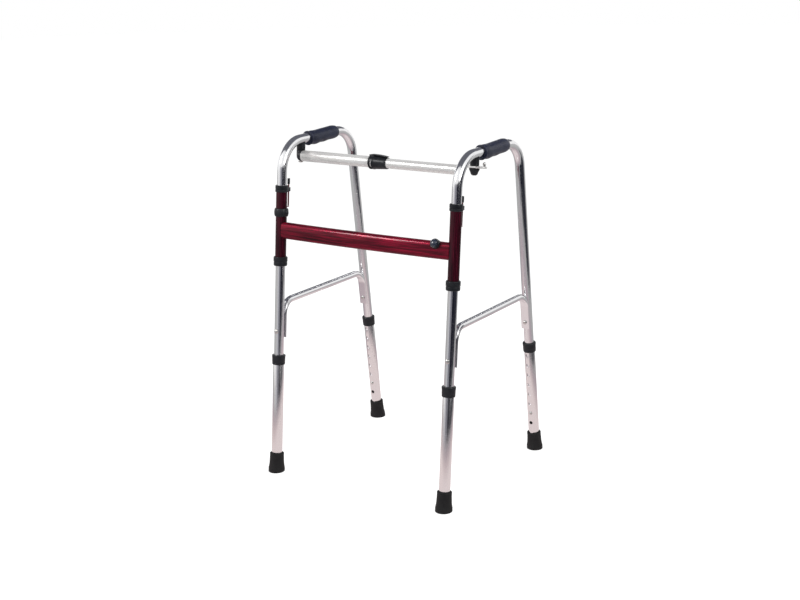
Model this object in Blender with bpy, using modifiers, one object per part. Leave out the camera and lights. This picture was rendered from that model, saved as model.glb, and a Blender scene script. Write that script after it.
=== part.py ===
# A folding walking frame: two aluminium side frames that turn about their front legs in a
# red front frame, with telescopic lower legs and a telescopic bar between the handles.
# Metres, +Z up. The user stands behind it at +Y and faces -Y, so left is +X.
# The origin is on the floor, in the middle of the four feet.

import math

import bmesh
import bpy
from mathutils import Matrix, Vector

# Overall sizes
hinge_spacing = 0.460
foot_depth = 0.434
front_lean = math.radians(5.5)
rear_lean = math.radians(6.9)
handle_height = 0.768
front_bend_radius = 0.070
rear_bend_radius = 0.065

# Fits between pieces
clearance = 0.0003
slide_play = 0.0004
bolt_play = 0.0003

# Rounding of moulded edges
soft_edge = 0.0010
fine_edge = 0.0006

# Tube stock: the frame tube, and the wider tube that slides or turns on it
tube_diameter = 0.0222
tube_wall = 0.0012
outer_wall = 0.0012

# Lower legs, measured up each leg from the floor
leg_bottom = 0.0120
leg_top = 0.2720
button_below_leg_top = 0.1730
hole_pitch = 0.0254
holes_above_button = 6
holes_below_button = 1
button_diameter = 0.0078
button_flange_width = 0.0013
button_flange_height = 0.0010
button_stick_out = 0.0025
button_arm_gap = 0.0010
tube_end_below_button = 0.0200

# Rubber feet
foot_height = 0.0450
foot_wall = 0.0032
foot_base_diameter = 0.0385
foot_base_height = 0.0095
foot_step = 0.0060
foot_below_floor = 0.0060

# Collars at the top of the lower legs
leg_collar_skirt = 0.0135
leg_collar_lip = 0.0095
leg_collar_wall = 0.0025

# Snap clip of spring strip inside each leg
strip_width = 0.0070
strip_thickness = 0.0006
clip_arm = 0.0260
clip_far_arm = 0.0240

# Braces
brace_height = 0.402
brace_diameter = 0.0160
brace_bend_radius = 0.034
brace_flat_width = 0.0210
brace_flat_thickness = 0.0036
brace_rivet_below_bend = 0.0645
brace_flat_end = 0.0160
brace_flat_squareness = 5.0
bolt_diameter = 0.0058
rivet_head_diameter = 0.0112
rivet_head_height = 0.0030
rivet_tail_diameter = 0.0092
rivet_tail_height = 0.0026

# Handgrips
grip_front = -0.0490
grip_length = 0.1130
grip_flange_width = 0.0045
grip_flange_top = 0.0152
grip_flange_bottom = 0.0185
grip_flange_side = 0.0160
grip_flange_edge = 0.0008
grip_side = 0.0145
grip_top = 0.0146
grip_bottom = 0.0175

# Front frame: sleeves, crossbar and collars
sleeve_below_handle = 0.0945
sleeve_length = 0.1795
collar_lip = 0.0025
collar_wall = 0.0018
bottom_collar_height = 0.0210
bottom_collar_wall = 0.0032
top_collar_height = 0.0155
crossbar_above_sleeve_end = 0.0800
crossbar_height = 0.0380
crossbar_thickness = 0.0220
crossbar_squareness = 2.7
crossbar_wall = 0.0016
crossbar_bow = 0.0100

# Push knob on the crossbar
knob_from_left_leg = 0.0400
knob_tilt = math.radians(25)
bezel_diameter = 0.0215
bezel_depth = 0.0070
bezel_wall = 0.0020
bezel_root = 0.0120
push_knob_stick_out = 0.0065
push_knob_dome = 0.0055
push_knob_travel = 0.0040
push_knob_spare = 0.0012
push_knob_stem = 0.0060
push_knob_stem_reach = 0.0090

# Turning lock ring on the right sleeve
ring_above_crossbar = 0.0405
ring_height = 0.0185
ring_wall = 0.0034
ring_round = 0.0022
ring_lobe_reach = 0.0030
ring_lobe_size = 0.0055

# Lock levers behind the sleeves
lever_below_sleeve_top = 0.0460
lever_back = 0.0255
lever_thickness = 0.0012
lever_width = 0.0036
lever_tip_width = 0.0052
lever_tip_depth = 0.0048
lever_tip_height = 0.0140
bracket_thickness = 0.0022
latch_pin_diameter = 0.0034
latch_pin_play = 0.0010
latch_pin_below_sleeve_top = 0.0080
ear_width = 0.0026
ear_reach = 0.0270
ear_height = 0.0095

# Telescopic bar, measured from its right pivot
pivot_back = 0.0700
bar_below_handle = 0.0380
bar_outer_start = 0.0070
bar_outer_end = 0.2050
bar_overlap = 0.0950
bar_plug_depth = 0.0120
bar_plug_reach = 0.0085
bar_plug_dome = 0.0100
washer_thickness = 0.0016
bush_diameter = 0.0200
pivot_flange_diameter = 0.0085
pivot_flange_height = 0.0030
pivot_flange_lift = 0.0036
plate_width = 0.0220
plate_thickness = 0.0040
plate_above_tube = 0.0006
plate_reach = 0.0300
plate_root = 0.0210
plate_taper = 0.0200
plate_squareness = 8.0
bar_knob_diameter = 0.0230
bar_knob_height = 0.0160
bar_stud_diameter = 0.0070
bar_stud_height = 0.0090
bar_stud_reach = 0.0240
bar_stud_neck = 0.0026

# Clamp on the telescopic bar
clamp_start = 0.1950
clamp_length = 0.0450
clamp_ring_length = 0.0120
clamp_ring_diameter = 0.0320
clamp_shoulder_diameter = 0.0305
clamp_nose_diameter = 0.0262
clamp_ear_wall = 0.0022
clamp_ear_above_pin = 0.0020
clamp_pin_diameter = 0.0026
clamp_pin_from_start = 0.0050
clamp_pin_height = 0.0157
cam_radius = 0.0026
lever_arm_width = 0.0130
lever_arm_length = 0.0400
lever_arm_thickness = 0.0024
lever_arm_gap = 0.0006
clamp_window_from_start = 0.0040
clamp_window_length = 0.0050
clamp_window_top = 0.0040

# Sizes that follow from the values above
tube_radius = tube_diameter / 2
bore_radius = tube_radius - tube_wall
outer_bore_radius = tube_radius + slide_play
outer_radius = outer_bore_radius + outer_wall
hole_diameter = button_diameter + 2 * clearance
half_spacing = hinge_spacing / 2
button_height = leg_top - button_below_leg_top
tube_end = button_height - tube_end_below_button
brace_bolt_height = brace_height - brace_rivet_below_bend
sleeve_top = handle_height - sleeve_below_handle
sleeve_bottom = sleeve_top - sleeve_length
crossbar_middle = sleeve_bottom + crossbar_above_sleeve_end
ring_middle = crossbar_middle + ring_above_crossbar
lever_bottom = sleeve_top - lever_below_sleeve_top
latch_pin_height = sleeve_top - latch_pin_below_sleeve_top
bar_height = handle_height - bar_below_handle
knob_place = half_spacing - knob_from_left_leg
plate_lift = tube_radius + plate_above_tube - plate_thickness / 2
cutter_margin = 0.0100

# How finely round forms are divided
tube_sides = 16
bore_sides = 12
fitting_sides = 16
bolt_sides = 10
hole_sides = 8
bend_steps = 5

parts = bpy.data.collections.new("walking_frame")
cutters = bpy.data.collections.new("cutters")


def clear_scene():
    for thing in list(bpy.data.objects):
        bpy.data.objects.remove(thing, do_unlink=True)
    for collection in (parts, cutters):
        bpy.context.scene.collection.children.link(collection)


# Materials

def make_material(name, colour, roughness, metallic):
    material = bpy.data.materials.new(name)
    material.use_nodes = True
    shader = material.node_tree.nodes["Principled BSDF"]
    shader.inputs["Base Color"].default_value = (*colour, 1.0)
    shader.inputs["Roughness"].default_value = roughness
    shader.inputs["Metallic"].default_value = metallic
    material.diffuse_color = (*colour, 1.0)
    return material


aluminium = ("aluminium", (0.78, 0.79, 0.81), 0.22, 1.0)
steel = ("steel", (0.55, 0.55, 0.57), 0.35, 1.0)
red_lacquer = ("red lacquer", (0.20, 0.010, 0.018), 0.18, 0.0)
black_plastic = ("black plastic", (0.018, 0.019, 0.022), 0.38, 0.0)
black_rubber = ("black rubber", (0.015, 0.015, 0.016), 0.70, 0.0)
grip_vinyl = ("grip vinyl", (0.022, 0.025, 0.038), 0.45, 0.0)


# Frames of reference, all with Z up the leg or bar pivot

def front_frame():
    return Matrix.Translation((0, -foot_depth / 2, 0)) @ Matrix.Rotation(-front_lean, 4, "X")


def front_leg_frame(side):
    return Matrix.Translation((side * half_spacing, 0, 0)) @ front_frame()


def rear_leg_frame(side):
    lean = Matrix.Rotation(rear_lean, 4, "X")
    return Matrix.Translation((side * half_spacing, foot_depth / 2, 0)) @ lean


def bar_level():
    # How far up the front frame the bar's axis lies at its pivots
    return (bar_height + pivot_back * math.sin(front_lean)) / math.cos(front_lean)


def bar_frame(side=-1):
    return front_frame() @ Matrix.Translation((side * half_spacing, pivot_back, bar_level()))


# Modelling helpers

def add_object(name, mesh, frame, finish):
    thing = bpy.data.objects.new(name, mesh)
    thing.matrix_world = frame
    if finish is None:
        cutters.objects.link(thing)
        thing.hide_render = True
        thing.display_type = "WIRE"
        return thing
    parts.objects.link(thing)
    mesh.materials.clear()
    mesh.materials.append(make_material(name + " " + finish[0], *finish[1:]))
    return thing


def smooth(thing, angle=32):
    thing.data.shade_smooth()
    thing.data.set_sharp_from_angle(angle=math.radians(angle))


def mesh_from(bm, name):
    mesh = bpy.data.meshes.new(name)
    bm.to_mesh(mesh)
    bm.free()
    return mesh


def turned(name, profile, frame, finish=None, sides=fitting_sides):
    # The profile runs down its outer side; one that starts off the axis is a closed ring
    bm = bmesh.new()
    corners = [bm.verts.new((radius, 0, height)) for radius, height in profile]
    for start, end in zip(corners, corners[1:]):
        bm.edges.new((start, end))
    if profile[0][0] > 0:
        bm.edges.new((corners[-1], corners[0]))
    thing = add_object(name, mesh_from(bm, name), frame, finish)
    screw = thing.modifiers.new("turn", "SCREW")
    screw.axis = "Z"
    screw.steps = sides
    screw.render_steps = sides
    screw.use_merge_vertices = True
    screw.merge_threshold = 0.00001
    screw.use_smooth_shade = True
    smooth(thing)
    return thing


def pipe_profile(outer, inner, bottom, top):
    return [(outer, top), (outer, bottom), (inner, bottom), (inner, top)]


def block(name, size, centre, frame, finish=None, edge=0.0):
    bm = bmesh.new()
    bmesh.ops.create_cube(bm, size=1.0)
    bmesh.ops.scale(bm, vec=size, verts=bm.verts)
    bmesh.ops.translate(bm, vec=centre, verts=bm.verts)
    thing = add_object(name, mesh_from(bm, name), frame, finish)
    if edge:
        bevel = thing.modifiers.new("soft edge", "BEVEL")
        bevel.width = edge
        bevel.segments = 2
    return thing


def rod(name, start, end, radius, frame, finish=None, sides=bolt_sides):
    # A round bar or drill whose flats, not its corners, face the symmetry planes
    start, end = Vector(start), Vector(end)
    bm = bmesh.new()
    length = (end - start).length
    bmesh.ops.create_cone(
        bm, cap_ends=True, segments=sides, radius1=radius, radius2=radius, depth=length
    )
    turn = Vector((0, 0, 1)).rotation_difference(end - start).to_matrix().to_4x4()
    half_step = Matrix.Rotation(math.pi / sides, 4, "Z")
    place = Matrix.Translation((start + end) / 2) @ turn @ half_step
    bmesh.ops.transform(bm, matrix=place, verts=bm.verts)
    thing = add_object(name, mesh_from(bm, name), frame, finish)
    smooth(thing)
    return thing


def loft(name, rings, frame, finish=None):
    # Skins a row of rings that have the same number of points, and caps both ends
    bm = bmesh.new()
    rows = [[bm.verts.new(point) for point in ring] for ring in rings]
    for near, far in zip(rows, rows[1:]):
        count = len(near)
        for i in range(count):
            j = (i + 1) % count
            bm.faces.new((near[i], near[j], far[j], far[i]))
    bm.faces.new(list(reversed(rows[0])))
    bm.faces.new(rows[-1])
    bmesh.ops.recalc_face_normals(bm, faces=bm.faces)
    thing = add_object(name, mesh_from(bm, name), frame, finish)
    smooth(thing, 40)
    return thing


def tube_along(name, points, radius, finish=None, sides=tube_sides):
    # A bevelled curve through the points, made a closed mesh so that it can be cut
    curve = bpy.data.curves.new(name, "CURVE")
    curve.dimensions = "3D"
    curve.bevel_depth = radius
    curve.bevel_resolution = sides // 2 - 2
    curve.use_fill_caps = True
    spline = curve.splines.new("POLY")
    spline.points.add(len(points) - 1)
    for place, point in zip(spline.points, points):
        place.co = (*point, 1.0)
    guide = bpy.data.objects.new(name + " guide", curve)
    bpy.context.scene.collection.objects.link(guide)
    bpy.context.view_layer.update()
    evaluated = guide.evaluated_get(bpy.context.evaluated_depsgraph_get())
    mesh = bpy.data.meshes.new_from_object(evaluated)
    bm = bmesh.new()
    bm.from_mesh(mesh)
    bmesh.ops.remove_doubles(bm, verts=bm.verts, dist=0.00001)
    bmesh.ops.recalc_face_normals(bm, faces=bm.faces)
    bm.to_mesh(mesh)
    bm.free()
    mesh.name = name
    matrix = guide.matrix_world.copy()
    bpy.data.objects.remove(guide, do_unlink=True)
    thing = add_object(name, mesh, matrix, finish)
    smooth(thing)
    return thing


def combine(thing, other, operation):
    boolean = thing.modifiers.new(operation.lower(), "BOOLEAN")
    boolean.operation = operation
    boolean.solver = "EXACT"
    boolean.object = other
    return thing


def cut(thing, *others):
    for other in others:
        combine(thing, other, "DIFFERENCE")
    return thing


def join(thing, *others):
    for other in others:
        combine(thing, other, "UNION")
    return thing


def oval(half_width, half_height, count, squareness=2.0):
    # Points round an oval; a squareness above 2 fills out its corners
    power = 2.0 / squareness
    points = []
    for i in range(count):
        angle = 2 * math.pi * i / count
        c, s = math.cos(angle), math.sin(angle)
        across = math.copysign(abs(c) ** power, c) * half_width
        up = math.copysign(abs(s) ** power, s) * half_height
        points.append((across, up))
    return points


def ease(value):
    value = min(max(value, 0.0), 1.0)
    return value * value * (3 - 2 * value)


# Paths in a side frame's plane

def leg_point(frame, along, back=0.0):
    return frame @ Vector((0, back, along))


def meet_height(frame, back, height):
    # Where a line up the leg, set back from its axis, reaches a height above the floor
    foot = frame @ Vector((0, back, 0))
    up = (frame.to_3x3() @ Vector((0, 0, 1))).normalized()
    return foot + up * ((height - foot.z) / up.z)


def rounded_corner(before, corner, after, radius, steps):
    towards = (before - corner).normalized()
    away = (after - corner).normalized()
    half_angle = towards.angle(away) / 2
    reach = radius / math.tan(half_angle)
    centre = corner + (towards + away).normalized() * (radius / math.sin(half_angle))
    first = corner + towards * reach - centre
    last = corner + away * reach - centre
    sweep = first.angle(last)
    points = []
    for step in range(steps + 1):
        share = step / steps
        weight_first = math.sin((1 - share) * sweep) / math.sin(sweep)
        weight_last = math.sin(share * sweep) / math.sin(sweep)
        points.append(centre + first * weight_first + last * weight_last)
    return points


def side_tube_path(side, overrun=0.0):
    front, rear = front_leg_frame(side), rear_leg_frame(side)
    front_end = leg_point(front, tube_end - overrun)
    rear_end = leg_point(rear, tube_end - overrun)
    front_corner = meet_height(front, 0, handle_height)
    rear_corner = meet_height(rear, 0, handle_height)
    path = [front_end]
    path += rounded_corner(front_end, front_corner, rear_corner, front_bend_radius, bend_steps)
    path += rounded_corner(front_corner, rear_corner, rear_end, rear_bend_radius, bend_steps)
    path.append(rear_end)
    return path


# Side frames

side_names = {-1: "right", 1: "left"}


def legs_of(side):
    # Each leg's name, its frame and which way the other leg of its side frame lies
    name = side_names[side]
    return [
        (name + "_front", front_leg_frame(side), 1),
        (name + "_rear", rear_leg_frame(side), -1),
    ]


def button_frame(frame, inward):
    # Origin on the leg's axis at the button, Z out towards the other leg, Y along the leg
    turn = Matrix.Rotation(-inward * math.pi / 2, 4, "X")
    return frame @ Matrix.Translation((0, 0, button_height)) @ turn


def add_side_tube(side):
    name = side_names[side]
    tube = tube_along(name + "_side_tube", side_tube_path(side), tube_radius, aluminium)
    bore_path = side_tube_path(side, cutter_margin)
    cut(tube, tube_along(name + " tube bore", bore_path, bore_radius, None, bore_sides))
    for leg, frame, inward in legs_of(side):
        out = button_frame(frame, inward)
        hole = rod(leg + " button hole", (0, 0, 0), (0, 0, outer_radius), hole_diameter / 2, out)
        bolt_hole = rod(
            leg + " brace bolt hole",
            (0, -outer_radius, brace_bolt_height),
            (0, outer_radius, brace_bolt_height),
            bolt_diameter / 2 + bolt_play,
            frame,
        )
        cut(tube, hole, bolt_hole)
    bar = bar_frame(side)
    pivot_hole = rod(
        name + " pivot hole", (0, 0, 0), (0, 0, handle_drop()), bolt_diameter / 2 + bolt_play, bar
    )
    return cut(tube, pivot_hole)


def handle_drop():
    # From the bar's axis up to the handle's axis, along the pivot
    return (handle_height - bar_height) / math.cos(front_lean)


def add_handgrip(side):
    name = side_names[side]
    rear = grip_front + grip_length
    body_start = grip_front + grip_flange_width
    # Share along the grip, height above the axis, depth below it, half width
    shape = [
        (0.00, 0.90, 0.86, 0.90),
        (0.06, 1.00, 0.98, 0.98),
        (0.20, 0.93, 1.12, 1.00),
        (0.36, 0.96, 0.98, 0.97),
        (0.50, 1.00, 1.04, 0.97),
        (0.64, 1.02, 0.94, 0.95),
        (0.80, 1.08, 0.94, 0.97),
        (0.93, 1.00, 0.90, 0.95),
        (1.00, 0.86, 0.80, 0.86),
    ]
    # The flange hangs lower under the tube than it stands above it
    full = (grip_flange_top, grip_flange_bottom, grip_flange_side)
    edge = [reach - grip_flange_edge for reach in full]
    sections = [
        (grip_front, *edge),
        (grip_front + grip_flange_edge, *full),
        (body_start - grip_flange_edge, *full),
        (body_start, *edge),
    ]
    neck = body_start + fine_edge
    for share, top, bottom, width in shape:
        place = neck + (rear - neck) * share
        sections.append((place, grip_top * top, grip_bottom * bottom, grip_side * width))
    rings = []
    for place, top, bottom, width in sections:
        ring = []
        for across, up in oval(1.0, 1.0, 16):
            reach = top if up > 0 else bottom
            ring.append((side * half_spacing + across * width, place, handle_height + up * reach))
        rings.append(ring)
    grip = loft(name + "_handgrip", rings, Matrix(), grip_vinyl)
    bore = tube_along(name + " grip bore", side_tube_path(side), tube_radius + clearance)
    return cut(grip, bore)


def brace_stations(side):
    # Points along the brace with how far its tube is pressed flat there, from 0 to 1
    front, rear = front_leg_frame(side), rear_leg_frame(side)
    offset = tube_radius + clearance + brace_flat_thickness / 2
    low = brace_bolt_height - brace_flat_end
    front_end = leg_point(front, low, offset)
    rear_end = leg_point(rear, low, -offset)
    front_corner = meet_height(front, offset, brace_height)
    rear_corner = meet_height(rear, -offset, brace_height)
    rise = rounded_corner(front_end, front_corner, rear_corner, brace_bend_radius, bend_steps)
    fall = rounded_corner(front_corner, rear_corner, rear_end, brace_bend_radius, bend_steps)
    # The tube swells from flat to round over this share of the bend
    swell = 0.75
    flatness = [1 - ease(step / bend_steps / swell) for step in range(bend_steps + 1)]
    stations = [(front_end, 1.0)]
    stations += list(zip(rise, flatness))
    stations += list(zip(fall, reversed(flatness)))
    stations.append((rear_end, 1.0))
    return stations


def add_brace(side):
    name = side_names[side]
    stations = brace_stations(side)
    rings = []
    for i, (point, flatness) in enumerate(stations):
        before = stations[max(i - 1, 0)][0]
        after = stations[min(i + 1, len(stations) - 1)][0]
        along = (after - before).normalized()
        across = Vector((1, 0, 0))
        up = along.cross(across)
        round_half = brace_diameter / 2
        width = round_half + (brace_flat_width / 2 - round_half) * flatness
        thick = round_half + (brace_flat_thickness / 2 - round_half) * flatness
        squareness = 2.0 + (brace_flat_squareness - 2.0) * flatness
        rings.append(
            [point + across * a + up * b for a, b in oval(width, thick, bolt_sides, squareness)]
        )
    brace = loft(name + "_brace", rings, Matrix(), aluminium)
    for leg, frame, inward in legs_of(side):
        hole = rod(
            leg + " brace hole",
            (0, 0, brace_bolt_height),
            (0, inward * (outer_radius + cutter_margin), brace_bolt_height),
            bolt_diameter / 2 + bolt_play,
            frame,
        )
        cut(brace, hole)
    return brace


def bolt_frame(frame, inward):
    # Origin on the leg's axis at the brace bolt, Z away from the other leg
    turn = Matrix.Rotation(inward * math.pi / 2, 4, "X")
    return frame @ Matrix.Translation((0, 0, brace_bolt_height)) @ turn


def add_brace_rivets(side):
    # A rivet through each leg and the brace's flat, with a dome on the leg's outer face and
    # a flatter head set against the brace
    seat = tube_radius + clearance
    shank = bolt_diameter / 2
    head = rivet_head_diameter / 2
    tail = rivet_tail_diameter / 2
    under = -(seat + brace_flat_thickness + clearance)
    profile = [
        (0, seat + rivet_head_height),
        (head * 0.66, seat + rivet_head_height * 0.80),
        (head, seat),
        (shank, seat),
        (shank, under),
        (tail, under),
        (tail * 0.7, under - rivet_tail_height),
        (0, under - rivet_tail_height),
    ]
    for leg, frame, inward in legs_of(side):
        turned(leg + "_brace_rivet", profile, bolt_frame(frame, inward), steel, bolt_sides)


def add_clip_springs(side):
    # The bend and far arm of each snap clip; the near arm moves with the button
    for leg, frame, inward in legs_of(side):
        place = button_frame(frame, inward)
        near = clip_arm_level() - strip_thickness / 2
        half_strip = strip_width / 2
        far = -math.sqrt((bore_radius - clearance) ** 2 - half_strip ** 2) + strip_thickness / 2
        radius = (near - far) / 2
        middle = (near + far) / 2
        start = clip_arm + clearance
        # The strip's centre line as height out of the leg's axis and distance up the leg
        line = [(near, start)]
        for step in range(1, 9):
            angle = math.pi * step / 8
            line.append((middle + radius * math.cos(angle), start + radius * math.sin(angle)))
        line.append((far, start - clip_far_arm))
        rings = []
        for i, (out, up) in enumerate(line):
            before, after = line[max(i - 1, 0)], line[min(i + 1, len(line) - 1)]
            run = Vector((0, inward * (after[1] - before[1]), after[0] - before[0])).normalized()
            across = Vector((1, 0, 0))
            thick = run.cross(across) * strip_thickness / 2
            centre = Vector((0, inward * up, out))
            rings.append([
                centre + across * half_strip + thick,
                centre - across * half_strip + thick,
                centre - across * half_strip - thick,
                centre + across * half_strip - thick,
            ])
        loft(leg + "_clip_spring", rings, place, steel)


def add_bar_bush(side):
    # The spacer under the handle, hollowed to fit the handle's curve
    name = side_names[side]
    low = bush_bottom(side)
    hole = bolt_diameter / 2 + bolt_play
    profile = pipe_profile(bush_diameter / 2, hole, low, handle_drop())
    bush = turned(name + "_bar_bush", profile, bar_frame(side), black_plastic)
    seat = tube_along(name + " bush seat", side_tube_path(side), tube_radius + clearance)
    # Its rim ends a little below the handle's middle
    rim = handle_drop() - tube_radius * 0.6
    above = block(
        name + " bush top",
        (2 * bush_diameter, 2 * bush_diameter, tube_diameter),
        (0, 0, rim + tube_radius),
        bar_frame(side),
    )
    return cut(bush, seat, above)


def bush_bottom(side):
    if side < 0:
        return outer_radius + clearance + washer_thickness + clearance
    return plate_lift + plate_thickness / 2 + clearance


def add_pivot_bolt(side):
    # A stud held inside the handle tube; on the right it carries the bar
    name = side_names[side]
    shank = bolt_diameter / 2
    flange = pivot_flange_diameter / 2
    floor = handle_drop() - bore_radius / math.cos(front_lean) + pivot_flange_lift
    top = floor + pivot_flange_height
    profile = [(0, top), (flange, top), (flange, floor), (shank, floor)]
    if side < 0:
        under = -outer_radius - clearance
        head = rivet_head_diameter / 2
        profile += [
            (shank, under),
            (head, under),
            (head, under - rivet_head_height * 0.4),
            (head * 0.6, under - rivet_head_height),
            (0, under - rivet_head_height),
        ]
    else:
        low = bush_bottom(side)
        profile += [(shank, low), (0, low)]
    return turned(name + "_pivot_bolt", profile, bar_frame(side), steel, bolt_sides)


# Lower legs

def add_lower_leg(name, frame, inward):
    profile = pipe_profile(outer_radius, outer_bore_radius, leg_bottom + clearance, leg_top)
    tube = turned(name + "_leg_tube", profile, frame, aluminium, tube_sides)
    for step in range(-holes_below_button, holes_above_button + 1):
        height = button_height + step * hole_pitch
        hole = rod(
            f"{name} leg hole {step}",
            (0, 0, height),
            (0, inward * 2 * outer_radius, height),
            hole_diameter / 2,
            frame,
            None,
            hole_sides,
        )
        cut(tube, hole)
    return tube


def add_leg_collar(name, frame):
    # A cap over the end of the lower leg, with a lip that hugs the frame tube
    outer = outer_radius + clearance + leg_collar_wall
    bottom = leg_top - leg_collar_skirt
    top = leg_top + leg_collar_lip
    lip = tube_radius + clearance
    seat = leg_top + clearance
    profile = [
        (outer - soft_edge, top),
        (outer, top - soft_edge),
        (outer, top - leg_collar_lip),
        (outer - soft_edge, bottom),
        (outer_radius + clearance, bottom),
        (outer_radius + clearance, seat),
        (lip, seat),
        (lip, top),
    ]
    return turned(name + "_leg_collar", profile, frame, black_plastic)


def add_foot(name, frame, floor):
    # A rubber foot on the leg's axis, cut level with the floor
    bore = outer_radius + clearance
    waist = bore + foot_wall
    base = foot_base_diameter / 2
    profile = [
        (0, leg_bottom),
        (bore, leg_bottom),
        (bore, foot_height),
        (waist - soft_edge, foot_height),
        (waist, foot_height - soft_edge),
        (waist + soft_edge, foot_base_height + foot_step),
        (base - soft_edge, foot_base_height + soft_edge),
        (base, foot_base_height),
        (base, -foot_below_floor),
        (0, -foot_below_floor),
    ]
    foot = turned(name + "_foot", profile, frame, black_rubber)
    return cut(foot, floor)


def clip_arm_level():
    # How far out of the leg's axis the outer face of the clip's near arm lies
    flange = button_diameter / 2 + button_flange_width
    flange_level = math.sqrt(bore_radius ** 2 - flange ** 2) - clearance
    return flange_level - button_arm_gap


def add_button(name, frame, inward):
    # A snap button with the near arm of its clip
    place = button_frame(frame, inward)
    radius = button_diameter / 2
    flange = radius + button_flange_width
    tip = outer_radius + button_stick_out
    back = clip_arm_level()
    sunk = back - strip_thickness / 2
    profile = [
        (0, tip),
        (radius * 0.70, tip - fine_edge),
        (radius, tip - 2 * soft_edge),
        (radius, back + button_flange_height),
        (flange, back + button_flange_height),
        (flange, sunk),
        (0, sunk),
    ]
    button = turned(name + "_button", profile, place, steel, bolt_sides)
    arm_length = clip_arm + radius
    arm_middle = inward * (clip_arm - radius) / 2
    arm = block(
        name + " clip arm",
        (strip_width, arm_length, strip_thickness),
        (0, arm_middle, back - strip_thickness / 2),
        place,
    )
    return join(button, arm)


# Front frame

def crossbar_rings(inset, overrun=0.0):
    # Sections across the bowed bar, seen from its ends
    rings = []
    stations = 6
    half_thick = crossbar_thickness / 2 - inset
    half_high = crossbar_height / 2 - inset
    for step in range(stations + 1):
        share = -1 + 2 * step / stations
        bow = bow_at(share * half_spacing)
        place = share * (half_spacing + overrun)
        shape = oval(half_thick, half_high, fitting_sides, crossbar_squareness)
        rings.append([(place, bow + a, crossbar_middle + b) for a, b in shape])
    return rings


def add_crossbar():
    frame = front_frame()
    bar = loft("crossbar", crossbar_rings(0.0), frame, red_lacquer)
    cut(bar, loft("crossbar hollow", crossbar_rings(crossbar_wall, cutter_margin), frame))
    for side in (-1, 1):
        saddle = rod(
            side_names[side] + " sleeve saddle",
            (0, 0, crossbar_middle - crossbar_height),
            (0, 0, crossbar_middle + crossbar_height),
            outer_radius + clearance,
            front_leg_frame(side),
            None,
            tube_sides,
        )
        cut(bar, saddle)
    stem_hole = rod(
        "push knob stem hole",
        (0, 0, cutter_margin),
        (0, 0, -crossbar_thickness / 2),
        push_knob_stem / 2 + clearance,
        knob_frame(),
    )
    return cut(bar, stem_hole)


def bow_at(place):
    share = place / half_spacing
    return -crossbar_bow * (1 - share * share)


def knob_frame():
    # Origin on the crossbar's rounded front, where the surface looks up by knob_tilt; Z out of it
    power = crossbar_squareness
    thick, high = crossbar_thickness / 2, crossbar_height / 2
    rise = (math.tan(knob_tilt) * (high / thick) ** power) ** (1 / (power - 1))
    face = thick / (1 + (rise * thick / high) ** power) ** (1 / power)
    front = bow_at(knob_place) - face
    at = Matrix.Translation((knob_place, front, crossbar_middle + rise * face))
    return front_frame() @ at @ Matrix.Rotation(math.pi / 2 - knob_tilt, 4, "X")


def add_push_knob():
    # A domed knob that presses into a fixed bezel; its stem goes into the crossbar
    frame = knob_frame()
    outer = bezel_diameter / 2
    inner = outer - bezel_wall
    stem = push_knob_stem / 2
    profile = [
        (outer - soft_edge, bezel_depth),
        (outer, bezel_depth - soft_edge),
        (outer, -bezel_root),
        (inner, -bezel_root),
        (inner, bezel_depth),
    ]
    bezel = turned("push_knob_bezel", profile, frame, black_plastic)
    face = loft("bezel seat", crossbar_rings(-clearance), front_frame())
    cut(bezel, face)
    rest = clearance + push_knob_travel + push_knob_spare
    cap = inner - clearance
    tip = bezel_depth + push_knob_stick_out
    dome = [
        (0, tip),
        (cap * 0.45, tip - push_knob_dome * 0.11),
        (cap * 0.80, tip - push_knob_dome * 0.44),
        (cap, tip - push_knob_dome),
        (cap, rest),
        (stem, rest),
        (stem, rest - push_knob_travel - push_knob_stem_reach),
        (0, rest - push_knob_travel - push_knob_stem_reach),
    ]
    turned("push_knob", dome, frame, black_plastic)


def add_sleeve(side):
    name = side_names[side]
    profile = pipe_profile(outer_radius, outer_bore_radius, sleeve_bottom, sleeve_top)
    sleeve = turned(name + "_sleeve", profile, front_leg_frame(side), red_lacquer, tube_sides)
    return cut(sleeve, latch_hole(side, "sleeve"))


def latch_hole(side, owner):
    return rod(
        f"{side_names[side]} {owner} latch hole",
        (0, tube_radius, latch_pin_height),
        (0, lever_back, latch_pin_height),
        latch_pin_diameter / 2 + latch_pin_play,
        front_leg_frame(side),
    )


def collar_profile(end, lip_end, skirt_end, wall):
    # Runs from the lip that hugs the tube to the skirt over the sleeve; end is the sleeve's
    outer = outer_radius + clearance + wall
    seat = outer_radius + clearance
    lip = tube_radius + clearance
    slope = math.copysign(soft_edge, skirt_end - lip_end)
    return [
        (outer - soft_edge, lip_end),
        (outer, lip_end + slope),
        (outer, skirt_end - slope),
        (outer - soft_edge, skirt_end),
        (seat, skirt_end),
        (seat, end),
        (lip, end),
        (lip, lip_end),
    ]


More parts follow.
